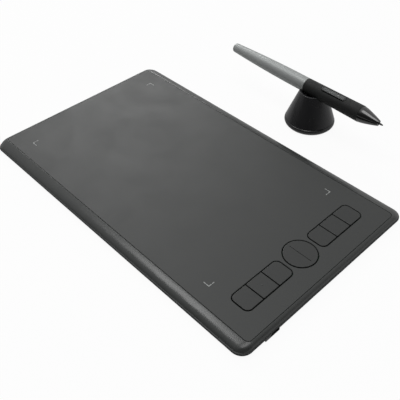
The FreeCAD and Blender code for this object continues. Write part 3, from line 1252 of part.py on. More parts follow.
def make_stand_base():
    """Base ring of the stand with the bayonet spigot, the well and the recesses below."""
    low = STAND_PAD_PROUD
    disc = stand_turned([
        (0, low),
        (STAND_FOOT_DIAMETER / 2, low),
        (STAND_EDGE_DIAMETER / 2, STAND_EDGE_HEIGHT),
        (stand_radius(STAND_SEAM_HEIGHT - STAND_SEAM_BEVEL), STAND_SEAM_HEIGHT - STAND_SEAM_BEVEL),
        (stand_radius(STAND_SEAM_HEIGHT) - STAND_SEAM_BEVEL, STAND_SEAM_HEIGHT),
        (0, STAND_SEAM_HEIGHT),
    ])
    disc = softened(disc, STAND_EDGE_ROUNDING, lies_at(STAND_EDGE_HEIGHT))
    spigot_top = STAND_FLOOR_TOP + STAND_SPIGOT_HEIGHT
    spigot = stand_rod(STAND_SPIGOT_DIAMETER, STAND_FLOOR_TOP, spigot_top)
    well = stand_rod(STAND_SPIGOT_DIAMETER - 2 * STAND_SPIGOT_WALL, STAND_FLOOR_TOP,
                     spigot_top + CUT_MARGIN)
    lug_low, lug_high = lug_heights()
    lugs = lug_sector(0.0, 0.0, lug_low, lug_high, 0.0)
    pad_recess = stand_rod(STAND_PAD_DIAMETER + 2 * FOOT_CLEARANCE, low - CUT_MARGIN, STAND_PAD_THICKNESS)
    pad_core = stand_rod(STAND_PAD_HOLE_DIAMETER - 2 * FOOT_CLEARANCE, low, STAND_PAD_THICKNESS)
    puller_recess = stand_rod(NIB_PULLER_DIAMETER + 2 * FOOT_CLEARANCE, low - CUT_MARGIN,
                              low + NIB_PULLER_THICKNESS)
    base = without(joined([disc, spigot] + lugs), [well, pad_recess])
    return without(joined([base, pad_core]), [puller_recess])


def make_stand_pad():
    """Non-slip ring under the stand."""
    ring = stand_rod(STAND_PAD_DIAMETER, 0, STAND_PAD_THICKNESS)
    hole = stand_rod(STAND_PAD_HOLE_DIAMETER, -CUT_MARGIN, STAND_PAD_THICKNESS + CUT_MARGIN)
    return without(ring, [hole])


def make_nib_puller():
    """Steel ring in the base that grips a worn nib."""
    low = STAND_PAD_PROUD
    disc = stand_rod(NIB_PULLER_DIAMETER, low, low + NIB_PULLER_THICKNESS)
    hole = stand_rod(NIB_PULLER_HOLE_DIAMETER, low - CUT_MARGIN,
                     low + NIB_PULLER_THICKNESS + CUT_MARGIN)
    return without(disc, [hole])


def spare_nib_places():
    """Centre of each spare nib, on a circle about the stand's axis."""
    places = []
    for index in range(SPARE_NIB_COUNT):
        angle = 2 * math.pi * index / SPARE_NIB_COUNT
        places.append((STAND_CENTRE_X + NIB_TRAY_HOLE_CIRCLE / 2 * math.cos(angle),
                       STAND_CENTRE_Y + NIB_TRAY_HOLE_CIRCLE / 2 * math.sin(angle)))
    return places


def make_nib_tray():
    """Tray with a hole for each spare nib, in the well of the base."""
    diameter = STAND_SPIGOT_DIAMETER - 2 * STAND_SPIGOT_WALL - 2 * FOOT_CLEARANCE
    tray = stand_rod(diameter, STAND_FLOOR_TOP, STAND_FLOOR_TOP + NIB_TRAY_HEIGHT)
    holes = [upright(NIB_DIAMETER + 2 * NIB_RUNNING_CLEARANCE, SPARE_NIB_BOTTOM,
                     STAND_FLOOR_TOP + NIB_TRAY_HEIGHT + CUT_MARGIN, x, y)
             for x, y in spare_nib_places()]
    return without(tray, holes)


def make_spare_nibs():
    """Spare nibs, upright in the tray with their tips down."""
    nibs = []
    for x, y in spare_nib_places():
        points = [Vector(x + radius, y, SPARE_NIB_BOTTOM + NIB_LENGTH - distance)
                  for distance, radius in nib_profile()]
        face = Part.Face(Part.makePolygon(points + points[:1]))
        nibs.append(face.revolve(Vector(x, y, 0), UP, 360))
    return Part.makeCompound(nibs)


def tablet_nodes():
    """Every piece of the tablet by its node name."""
    nodes = {
        "drawing_panel": make_drawing_panel(),
        "panel_tape": make_panel_tape(),
        "top_housing": make_top_housing(),
        "bottom_shell": make_bottom_shell(),
        "case_screws": make_case_screws(),
        "sensor_board": make_sensor_board(),
        "shield_plate": make_shield_plate(),
        "main_board": make_main_board(),
        "key_switches": make_key_switches(),
        "controller_chip": make_controller_chip(),
        "clock_crystal": make_crystal(),
        "multiplexer_chips": make_multiplexer_chips(),
        "cable_connectors": make_cable_connectors(),
        "flat_cable": make_flat_cable(),
        "socket_shell": make_socket_shell(),
        "socket_tongue": make_socket_tongue(),
        "round_key": make_round_key(),
    }
    for index in range(2 * KEYS_PER_GROUP):
        nodes["key_%d" % (index + 1)] = make_key(index)
    for index, (x, y) in enumerate(foot_places()):
        nodes["foot_%d" % (index + 1)] = make_foot(x, y)
    return nodes


def turned_together(nodes, centre, axis, angle):
    """The same pieces, turned together about one axis."""
    for shape in nodes.values():
        shape.rotate(centre, axis, angle)
    return nodes


def pen_nodes():
    """Every piece of the pen by its node name, rolled and headed as it lies on the stand."""
    nodes = {
        "pen_barrel": make_pen_barrel(),
        "pen_grip": make_pen_grip(),
        "pen_cone": make_pen_cone(),
        "pen_nib": make_pen_nib(),
        "nib_holder": make_nib_holder(),
        "pen_core": make_pen_core(),
        "pen_coil": make_pen_coil(),
        "pressure_sensor": make_pressure_sensor(),
        "pen_carrier": make_pen_carrier(),
        "pen_board": make_pen_board(),
        "pen_switches": make_pen_switches(),
        "pen_rocker": make_pen_rocker(),
    }
    rolled = turned_together(nodes, PEN_AXIS, ALONG, PEN_ROLL)
    return turned_together(rolled, STAND_AXIS, UP, STAND_HEADING)


def stand_nodes():
    """Every piece of the stand by its node name, headed as it stands on the desk."""
    nodes = {
        "stand_body": make_stand_body(),
        "stand_base": make_stand_base(),
        "stand_pad": make_stand_pad(),
        "nib_tray": make_nib_tray(),
        "spare_nibs": make_spare_nibs(),
        "nib_puller": make_nib_puller(),
    }
    return turned_together(nodes, STAND_AXIS, UP, STAND_HEADING)


def main():
    """Build each node and write it to its own file."""
    os.makedirs("parts", exist_ok=True)
    nodes = {}
    for group in (tablet_nodes(), pen_nodes(), stand_nodes()):
        nodes.update(group)
    for name, shape in nodes.items():
        if not shape.isValid() or shape.Volume <= 0:
            raise ValueError("The shape of %s isn't a sound solid" % name)
        shape.exportStep("parts/%s.step" % name)
        box = shape.BoundBox
        print("%-18s solids %d volume %9.1f  x %7.2f %7.2f  y %7.2f %7.2f  z %6.2f %6.2f" % (
            name, len(shape.Solids), shape.Volume, box.XMin, box.XMax, box.YMin, box.YMax, box.ZMin,
            box.ZMax))


main()
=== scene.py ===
"""Looks of a slim graphics tablet with its pen and its pen stand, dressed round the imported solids.

Sizes are millimetres and become metres where a mesh is made. +X runs along the tablet towards its
keys, +Y across it towards the stand, and +Z is up from the desk.
"""

import json
import logging
import math
from dataclasses import dataclass
from enum import Enum

import bmesh
import bpy
import numpy as np
from mathutils import Matrix, Vector


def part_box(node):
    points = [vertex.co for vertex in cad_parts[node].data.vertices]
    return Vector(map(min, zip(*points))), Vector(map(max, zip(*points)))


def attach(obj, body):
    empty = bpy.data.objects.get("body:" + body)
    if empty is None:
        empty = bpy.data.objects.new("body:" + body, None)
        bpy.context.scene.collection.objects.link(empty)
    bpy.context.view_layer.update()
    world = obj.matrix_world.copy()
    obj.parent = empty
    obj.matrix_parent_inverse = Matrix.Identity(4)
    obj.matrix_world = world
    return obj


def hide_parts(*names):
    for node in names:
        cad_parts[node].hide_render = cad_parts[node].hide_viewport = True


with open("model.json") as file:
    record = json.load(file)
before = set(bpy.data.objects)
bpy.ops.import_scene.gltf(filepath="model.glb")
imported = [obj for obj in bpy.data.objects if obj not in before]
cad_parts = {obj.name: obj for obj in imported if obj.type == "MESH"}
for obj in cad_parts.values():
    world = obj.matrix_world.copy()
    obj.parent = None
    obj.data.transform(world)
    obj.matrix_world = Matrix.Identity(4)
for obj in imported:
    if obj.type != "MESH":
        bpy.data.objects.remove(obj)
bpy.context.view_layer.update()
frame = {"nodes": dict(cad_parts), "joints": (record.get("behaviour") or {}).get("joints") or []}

LOG = logging.getLogger("tablet")
MM = 0.001
SHARP_ANGLE = 40.0
MERGE_DISTANCE = 0.001
SLIVER_LENGTH = 0.0005
Array = np.ndarray
Colour = tuple[float, float, float, float]


def linear(code: str) -> Colour:
    """Turn an sRGB hex colour into linear light.

    Args:
        code: Six hex digits, with or without a leading hash.

    Returns:
        Red, green, blue and an alpha of one.
    """
    digits = code.lstrip("#")
    parts = np.array([int(digits[i:i + 2], 16) for i in (0, 2, 4)]) / 255
    light = np.where(parts <= 0.04045, parts / 12.92, ((parts + 0.055) / 1.055) ** 2.4)
    return (*map(float, light), 1.0)


def scaled(colour: Colour, share: float) -> Colour:
    """Return a linear colour made lighter or darker by a share."""
    return (*(min(1.0, part * share) for part in colour[:3]), 1.0)


def per_mm(size: float) -> float:
    """Return the texture scale, in turns per metre, of a pattern of this size in millimetres."""
    return 1.0 / (size * MM)


def add_node(tree: bpy.types.NodeTree, kind: str, sockets: dict | None = None, **settings) -> bpy.types.Node:
    """Add a node with its settings, and fill or link its sockets.

    Args:
        tree: The node tree.
        kind: Blender's name of the node type.
        sockets: Value or output socket for each input, by name or number.
        settings: Properties of the node.

    Returns:
        The new node.
    """
    node = tree.nodes.new(kind)
    for name, value in settings.items():
        setattr(node, name, value)
    for name, value in (sockets or {}).items():
        if isinstance(value, bpy.types.NodeSocket):
            tree.links.new(value, node.inputs[name])
        else:
            node.inputs[name].default_value = value
    return node


class Mark(Enum):
    """Which pattern lies over a finish."""

    NONE = "none"
    STRIPES = "stripes"
    TRACES = "traces"
    AERIALS = "aerials"
    FLAKES = "flakes"
    BRUSHED = "brushed"
    DUST = "dust"
    # Painted highlight: the tops of the rocker's studs are coloured light
    PAINTED_STUD_HIGHLIGHTS = "studs"


@dataclass(frozen=True)
class Finish:
    """A finish: the stuff, its colour and the marks that its making leaves, one of them a painted highlight.

    Mottle is a slow change of colour, grain a fine relief, and the rub range is how far the
    roughness wanders where hands and handling have polished or dulled it.
    """

    name: str
    colour: str
    roughness: float
    grain_mm: float
    grain_depth_mm: float
    mottle: float = 0.06
    mottle_mm: float = 25.0
    rub: float = 0.05
    ior: float = 1.5
    metallic: float = 0.0
    sheen: float = 0.0
    mark: Mark = Mark.NONE
    mark_colour: str = "#808080"
    mark_mm: float = 1.0

    def material(self) -> bpy.types.Material:
        """Build the node material of the finish, or return the one already built.

        Returns:
            The material.
        """
        found = bpy.data.materials.get(self.name)
        if found:
            return found
        material = bpy.data.materials.new(self.name)
        material.use_nodes = True
        tree = material.node_tree
        tree.nodes.clear()
        place = add_node(tree, "ShaderNodeTexCoord").outputs["Object"]
        grain = add_node(tree, "ShaderNodeTexNoise",
                         {"Vector": place, "Scale": per_mm(self.grain_mm), "Detail": 3.0, "Roughness": 0.6})
        colour = self.mottled(tree, place)
        colour, height = self.marked(tree, place, colour, grain.outputs["Fac"])
        bump = add_node(tree, "ShaderNodeBump",
                        {"Height": height, "Distance": self.grain_depth_mm * MM, "Strength": 1.0})
        shader = add_node(tree, "ShaderNodeBsdfPrincipled", {
            "Base Color": colour,
            "Roughness": self.rubbed(tree, place),
            "Normal": bump.outputs["Normal"],
            "IOR": self.ior,
            "Metallic": self.metallic,
            "Sheen Weight": self.sheen,
            "Sheen Roughness": 0.4,
        })
        add_node(tree, "ShaderNodeOutputMaterial", {"Surface": shader.outputs["BSDF"]})
        return material

    def mottled(self, tree: bpy.types.NodeTree, place: bpy.types.NodeSocket) -> bpy.types.NodeSocket:
        """Let the colour drift slowly about its mean.

        Args:
            tree: The node tree.
            place: The coordinates.

        Returns:
            The colour socket.
        """
        drift = add_node(tree, "ShaderNodeTexNoise",
                         {"Vector": place, "Scale": per_mm(self.mottle_mm), "Detail": 4.0, "Roughness": 0.55})
        mix = add_node(tree, "ShaderNodeMix", {
            "Factor": drift.outputs["Fac"],
            "A": scaled(linear(self.colour), 1.0 - self.mottle),
            "B": scaled(linear(self.colour), 1.0 + self.mottle),
        }, data_type="RGBA")
        return mix.outputs["Result"]

    def rubbed(self, tree: bpy.types.NodeTree, place: bpy.types.NodeSocket) -> bpy.types.NodeSocket:
        """Let the roughness wander, as handling leaves it.

        Args:
            tree: The node tree.
            place: The coordinates.

        Returns:
            The roughness socket.
        """
        smear = add_node(tree, "ShaderNodeTexNoise",
                         {"Vector": place, "Scale": per_mm(self.mottle_mm * 0.6), "Detail": 5.0,
                          "Roughness": 0.6, "Distortion": 0.6})
        span = add_node(tree, "ShaderNodeMapRange", {
            "Value": smear.outputs["Fac"], "From Min": 0.3, "From Max": 0.7,
            "To Min": self.roughness - self.rub, "To Max": self.roughness + self.rub,
        })
        return span.outputs["Result"]

    def marked(self, tree: bpy.types.NodeTree, place: bpy.types.NodeSocket, colour: bpy.types.NodeSocket,
               height: bpy.types.NodeSocket) -> tuple[bpy.types.NodeSocket, bpy.types.NodeSocket]:
        """Lay the finish's own pattern over its colour and relief.

        Args:
            tree: The node tree.
            place: The coordinates.
            colour: The colour so far.
            height: The relief so far.

        Returns:
            The colour and the relief with the pattern in them.
        """
        if self.mark is Mark.NONE:
            return colour, height
        mask = self.mask(tree, place)
        mix = add_node(tree, "ShaderNodeMix",
                       {"Factor": mask, "A": colour, "B": linear(self.mark_colour)}, data_type="RGBA")
        if self.mark in (Mark.FLAKES, Mark.DUST, Mark.PAINTED_STUD_HIGHLIGHTS):
            return mix.outputs["Result"], height
        raised = add_node(tree, "ShaderNodeMath", {0: mask, 1: height}, operation="ADD")
        return mix.outputs["Result"], raised.outputs["Value"]

    def mask(self, tree: bpy.types.NodeTree, place: bpy.types.NodeSocket) -> bpy.types.NodeSocket:
        """Work out where the finish's pattern lies, from 0 to 1.

        Args:
            tree: The node tree.
            place: The coordinates.

        Returns:
            The mask socket.
        """
        scale = per_mm(self.mark_mm)
        # Painted highlight: the stud share blends the tops of the studs towards the light mark colour
        if self.mark is Mark.PAINTED_STUD_HIGHLIGHTS:
            return add_node(tree, "ShaderNodeAttribute", attribute_name="stud").outputs["Fac"]
        if self.mark is Mark.FLAKES:
            cells = add_node(tree, "ShaderNodeTexVoronoi", {"Vector": place, "Scale": scale})
            light = add_node(tree, "ShaderNodeSeparateColor", {"Color": cells.outputs["Color"]})
            return add_node(tree, "ShaderNodeMapRange", {
                "Value": light.outputs["Red"], "From Min": 0.2, "From Max": 1.0, "To Max": 0.35,
            }).outputs["Result"]
        if self.mark is Mark.DUST:
            specks = add_node(tree, "ShaderNodeTexVoronoi", {"Vector": place, "Scale": scale})
            return add_node(tree, "ShaderNodeMapRange", {
                "Value": specks.outputs["Distance"], "From Min": 0.05, "From Max": 0.12,
                "To Min": 0.4, "To Max": 0.0,
            }).outputs["Result"]
        if self.mark is Mark.BRUSHED:
            drawn = add_node(tree, "ShaderNodeMapping", {"Vector": place, "Scale": (0.04, 1.0, 1.0)})
            lines = add_node(tree, "ShaderNodeTexNoise",
                             {"Vector": drawn.outputs["Vector"], "Scale": scale, "Detail": 2.0})
            return add_node(tree, "ShaderNodeMapRange", {
                "Value": lines.outputs["Fac"], "From Min": 0.35, "From Max": 0.65, "To Max": 0.5,
            }).outputs["Result"]
        if self.mark is Mark.TRACES:
            tracks = add_node(tree, "ShaderNodeTexBrick", {
                "Vector": place, "Scale": scale, "Color1": (0, 0, 0, 1), "Color2": (0.1, 0.1, 0.1, 1),
                "Mortar": (1, 1, 1, 1), "Mortar Size": 0.02, "Brick Width": 1.7, "Row Height": 0.35,
            })
            return tracks.outputs["Color"]
        bands = add_node(tree, "ShaderNodeTexWave",
                         {"Vector": place, "Scale": scale * math.pi / 10}, bands_direction="Y")
        thin = add_node(tree, "ShaderNodeMapRange",
                        {"Value": bands.outputs["Fac"], "From Min": 0.6, "From Max": 0.8})
        if self.mark is Mark.STRIPES:
            return thin.outputs["Result"]
        across = add_node(tree, "ShaderNodeTexWave",
                          {"Vector": place, "Scale": scale * math.pi / 10}, bands_direction="X")
        lines = add_node(tree, "ShaderNodeMapRange",
                         {"Value": across.outputs["Fac"], "From Min": 0.9, "From Max": 0.97})
        narrow = add_node(tree, "ShaderNodeMapRange",
                          {"Value": bands.outputs["Fac"], "From Min": 0.9, "From Max": 0.97})
        return add_node(tree, "ShaderNodeMath",
                        {0: lines.outputs["Result"], 1: narrow.outputs["Result"]},
                        operation="MAXIMUM").outputs["Value"]


# Matt polyester film, etched: fine pits scatter the light into a broad, faint sheen
ETCHED_FILM = Finish("etched_polyester_film", "#2E302F", 0.5, 0.3, 0.006, 0.04, 60.0, 0.04)
# Sprayed ABS: satin lacquer with a trace of orange peel, so that highlights are soft but whole
SPRAYED_ABS = Finish("sprayed_abs", "#393B3A", 0.25, 1.2, 0.0008, 0.04, 40.0, 0.03)
# Moulded ABS: an even spark-eroded grain that turns highlights dull
MOULDED_ABS = Finish("moulded_abs", "#2B2D2D", 0.5, 0.45, 0.012, 0.06, 30.0, 0.06)
# Key caps: the same ABS in a finer grain, a little polished by fingers
KEY_ABS = Finish("moulded_key_abs", "#232524", 0.5, 0.35, 0.005, 0.05, 12.0, 0.08)
# Silicone rubber: matt, with specks of dust in a soft bloom
SILICONE = Finish("silicone_rubber", "#1B1C1C", 0.8, 0.5, 0.02, 0.15, 8.0, 0.08,
                  mark=Mark.DUST, mark_colour="#6A6A66", mark_mm=1.6)
# Soft-touch lacquer on the pen's grip: velvety, with next to no highlight
SOFT_TOUCH = Finish("soft_touch_lacquer", "#161817", 0.65, 0.3, 0.006, 0.08, 15.0, 0.08,
                    ior=1.4, sheen=0.05)
# Silver lacquer: aluminium flakes in a grey binder give a soft, half metallic shine. The flakes are
# drawn at 0.4 mm, coarser than the real ones
SILVER_LACQUER = Finish("silver_flake_lacquer", "#9EA1A0", 0.44, 0.8, 0.0001, 0.03, 20.0, 0.03, ior=1.35,
                        metallic=0.3, mark=Mark.FLAKES, mark_colour="#ACAFAE", mark_mm=0.4)
# Gloss moulding of the pen's tip: polished tool, sharp reflections, faint flow lines
GLOSS_ABS = Finish("polished_abs", "#101111", 0.12, 3.0, 0.0008, 0.05, 20.0, 0.03, ior=1.8)
# Grey moulding of the pen's rocker: the tops of its studs are painted light, a painted highlight standing in
# for the light they catch
GREY_GLOSS_ABS = Finish("polished_grey_abs", "#232625", 0.25, 2.0, 0.002, 0.05, 6.0, 0.05,
                        mark=Mark.PAINTED_STUD_HIGHLIGHTS, mark_colour="#A2A5A4")
# Stand: satin-gloss ABS, lightly textured, so that reflections spread over its flanks
STAND_ABS = Finish("satin_gloss_abs", "#202022", 0.24, 2.2, 0.0006, 0.08, 15.0, 0.04)
# Acetal nib: waxy, worn at its tip
ACETAL = Finish("acetal", "#161616", 0.4, 0.3, 0.005, 0.1, 2.0, 0.1)
# Nylon carriers and trays inside
GLASS_FILLED_NYLON = Finish("glass_filled_nylon", "#26282A", 0.6, 0.25, 0.015, 0.12, 6.0, 0.08)
# Printed ink of the corner marks: matt, slightly uneven
PRINTED_INK = Finish("screen_printed_ink", "#B4B7B5", 0.6, 0.2, 0.002, 0.06, 3.0, 0.05)
# Gold flash on the socket's contacts
GOLD_FLASH = Finish("gold_flash", "#C9A24A", 0.25, 0.2, 0.001, 0.04, 1.0, 0.05, metallic=1.0)
# Circuit board: green solder mask over copper tracks
SOLDER_MASK = Finish("solder_mask_board", "#0C3B24", 0.28, 0.8, 0.01, 0.08, 20.0, 0.05,
                     mark=Mark.TRACES, mark_colour="#1E5C3B", mark_mm=4.0)
# Antenna board: crossing aerial lines under the mask
AERIAL_BOARD = Finish("aerial_grid_board", "#0F5A34", 0.28, 0.8, 0.01, 0.06, 40.0, 0.05,
                      mark=Mark.AERIALS, mark_colour="#3E9A68", mark_mm=6.0)
# Tinned sheet steel: rolled, with fine lines along the sheet
TINNED_STEEL = Finish("tinned_steel", "#9EA0A2", 0.32, 0.6, 0.002, 0.05, 20.0, 0.08,
                      metallic=1.0, mark=Mark.BRUSHED, mark_colour="#C9CBCD", mark_mm=0.4)
# Nickel-plated socket shell: brighter and smoother
NICKEL = Finish("nickel_plate", "#B4B2AC", 0.2, 0.4, 0.002, 0.05, 4.0, 0.08,
                metallic=1.0, mark=Mark.BRUSHED, mark_colour="#D8D6D0", mark_mm=0.3)
# Black zinc screws
BLACK_ZINC = Finish("black_zinc_steel", "#3A3A3C", 0.38, 0.3, 0.005, 0.12, 2.0, 0.08, metallic=0.9)
# Moulded epoxy chip packages
EPOXY = Finish("moulded_epoxy", "#17181A", 0.55, 0.3, 0.01, 0.1, 3.0, 0.06)
# Connector nylon, ivory
CONNECTOR_NYLON = Finish("connector_nylon", "#C9C3B0", 0.5, 0.3, 0.008, 0.06, 4.0, 0.06,
                         mark=Mark.STRIPES, mark_colour="#6E6A5C", mark_mm=1.0)
# Polyester flat cable: conductors show through as stripes
CABLE_FILM = Finish("polyester_cable", "#C3C6C8", 0.25, 0.5, 0.004, 0.05, 5.0, 0.05,
                    mark=Mark.STRIPES, mark_colour="#8E7A5A", mark_mm=1.0)
# Sintered ferrite: dull grey, pitted
FERRITE = Finish("sintered_ferrite", "#2A2B2D", 0.6, 0.3, 0.02, 0.15, 2.0, 0.1)
# Enamelled copper: turns of wire drawn coarser than the real 0.1 mm, so that they show
WINDING = Finish("enamelled_copper", "#8A4A24", 0.3, 0.3, 0.01, 0.08, 2.0, 0.08,
                 metallic=0.8, mark=Mark.STRIPES, mark_colour="#C77B45", mark_mm=0.4)
# Acrylic adhesive on a film
ADHESIVE = Finish("acrylic_adhesive", "#C8C4B6", 0.45, 0.8, 0.01, 0.05, 30.0, 0.1)


def grid_faces(rows: int, columns: int, wrap: bool = False) -> Array:
    """List the quads of a grid of points numbered row by row.

    Args:
        rows: Number of rows.
        columns: Number of points in a row.
        wrap: Whether the last column joins the first.

    Returns:
        One row of four point numbers for each quad.
    """
    across = columns if wrap else columns - 1
    row, column = np.meshgrid(np.arange(rows - 1), np.arange(across), indexing="ij")
    following = (column + 1) % columns
    low, high = row * columns, (row + 1) * columns
    quads = np.stack([low + column, low + following, high + following, high + column], -1)
    return quads.reshape(-1, 4)


def bars(low: Array, high: Array) -> tuple[Array, Array]:
    """Make upright blocks between their low and high corners, all at once.

    Each of the eight corners of a block takes the low or the high value of each coordinate.

    Args:
        low: Lowest corners, one row for each block.
        high: Highest corners, one row for each block.

    Returns:
        The points and the faces.
    """
    pick = np.array([[0, 0, 0], [1, 0, 0], [1, 1, 0], [0, 1, 0], [0, 0, 1], [1, 0, 1], [1, 1, 1], [0, 1, 1]])
    sides = np.array([[0, 3, 2, 1], [4, 5, 6, 7], [0, 1, 5, 4], [1, 2, 6, 5], [2, 3, 7, 6], [3, 0, 4, 7]])
    points = low[:, None] + pick[None] * (high - low)[:, None]
    faces = sides[None] + len(pick) * np.arange(len(low))[:, None, None]
    return points.reshape(-1, 3), faces.reshape(-1, 4)


@dataclass
class Piece:
    """A mesh in millimetres, with the finish it wears, its body and its material slot."""

    name: str
    points: Array
    faces: list[list[int]]
    finish: Finish
    body: str
    slot: str

    def add(self) -> bpy.types.Object:
        """Put the mesh into the scene, dressed, smooth and riding on its body.

        Returns:
            The new object.
        """
        mesh = bpy.data.meshes.new(self.name)
        mesh.from_pydata((self.points * MM).tolist(), [], self.faces)
        mesh.polygons.foreach_set("use_smooth", np.ones(len(mesh.polygons), dtype=bool))
        mesh.set_sharp_from_angle(angle=math.radians(SHARP_ANGLE))
        mesh.materials.append(self.finish.material())
        mesh.update()
        piece = bpy.data.objects.new(self.name, mesh)
        bpy.context.scene.collection.objects.link(piece)
        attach(piece, self.body)
        LOG.info("%s: %d faces on %s", self.name, len(self.faces), self.body)
        return piece


@dataclass
class Tablet:
    """The pieces on the tablet's face and in its socket that the solids don't hold."""

    mark_low_x: float = -129.4
    mark_high_x: float = 100.1
    mark_half_width: float = 70.3
    stroke_width: float = 0.5
    corner_arm: float = 2.6
    dash_gap: float = 0.7
    dash_length: float = 2.1
    ink_thickness: float = 0.02
    dot_radius: float = 0.7
    dot_height: float = 0.22
    dot_sunk: float = 0.04
    dot_rings: int = 8
    dot_turns: int = 32
    home_keys: tuple[str, ...] = ("key_2", "key_5")
    contact_count: int = 12
    contact_pitch: float = 0.5
    contact_width: float = 0.28
    contact_length: float = 3.6
    contact_setback: float = 0.3
    contact_thickness: float = 0.03
    half_tongue: float = 0.35

    def build(self) -> None:
        """Add the printed corner marks, the dots on the home keys and the socket's contacts."""
        self.add_marks()
        for key in self.home_keys:
            self.add_dot(key)
        self.add_contacts()

    def add_marks(self) -> None:
        """Print a corner and two dashes at each corner of the drawing area.

        From the corner each arm runs inwards, one along X and one along Y, then a gap and a dash
        in line with it. All strokes are as thick as the ink.
        """
        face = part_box("drawing_panel")[1][2] / MM
        half = self.stroke_width / 2
        dash = self.corner_arm + self.dash_gap
        spans = ((-half, self.corner_arm), (dash, dash + self.dash_length))
        low, high = [], []
        for x, inward_x in ((self.mark_low_x, 1), (self.mark_high_x, -1)):
            for y, inward_y in ((-self.mark_half_width, 1), (self.mark_half_width, -1)):
                for start, end in spans:
                    along_y = half if start < 0 else start
                    runs = ((start, end, -half, half), (-half, half, along_y, end))
                    for x_start, x_end, y_start, y_end in runs:
                        xs = sorted((x + inward_x * x_start, x + inward_x * x_end))
                        ys = sorted((y + inward_y * y_start, y + inward_y * y_end))
                        low.append((xs[0], ys[0], face))
                        high.append((xs[1], ys[1], face + self.ink_thickness))
        points, faces = bars(np.array(low), np.array(high))
        Piece("corner_marks", points, faces.tolist(), PRINTED_INK, "tablet", "panel").add()

    def add_dot(self, key: str) -> None:
        """Raise a small dome in the middle of a key, for the finger to find.

        The height falls with the cosine of the way out from the middle, from the dome's height to
        just under the key's face.

        Args:
            key: The key's node.
        """
        low, high = (np.array(corner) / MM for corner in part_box(key))
        centre = (low + high) / 2
        way = np.linspace(0, 1, self.dot_rings + 1)[1:, None]
        turn = np.linspace(0, 2 * np.pi, self.dot_turns, endpoint=False)[None]
        height = (self.dot_height + self.dot_sunk) * np.cos(way * np.pi / 2) - self.dot_sunk
        ring = np.stack([centre[0] + self.dot_radius * way * np.cos(turn),
                         centre[1] + self.dot_radius * way * np.sin(turn),
                         high[2] + height + 0 * turn], -1).reshape(-1, 3)
        top = np.array([[centre[0], centre[1], high[2] + self.dot_height]])
        points = np.concatenate([top, ring])
        around = np.arange(self.dot_turns)
        tip = np.stack([0 * around, 1 + around, 1 + (around + 1) % self.dot_turns], 1).tolist()
        outer = len(points) - self.dot_turns
        under = [(outer + around[::-1]).tolist()]
        faces = tip + (1 + grid_faces(self.dot_rings, self.dot_turns, True)[:, ::-1]).tolist() + under
        Piece(key + "_dot", points, faces, KEY_ABS, key, "key_cap").add()

    def add_contacts(self) -> None:
        """Lay a row of gold contacts on each face of the socket's tongue."""
        low, high = (np.array(corner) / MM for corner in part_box("socket_tongue"))
        middle = (low[1] + high[1]) / 2
        front = high[0] - self.contact_setback
        level = (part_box("socket_shell")[0][2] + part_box("socket_shell")[1][2]) / MM / 2
        places = middle + self.contact_pitch * (np.arange(self.contact_count) - (self.contact_count - 1) / 2)
        lows, highs = [], []
        for y in places:
            for side in (-1, 1):
                face = level + side * self.half_tongue
                lows.append((front - self.contact_length, y - self.contact_width / 2,
                             face - self.contact_thickness))
                highs.append((front, y + self.contact_width / 2, face + self.contact_thickness))
        points, faces = bars(np.array(lows), np.array(highs))
        Piece("socket_contacts", points, faces.tolist(), GOLD_FLASH, "tablet", "socket_steel").add()


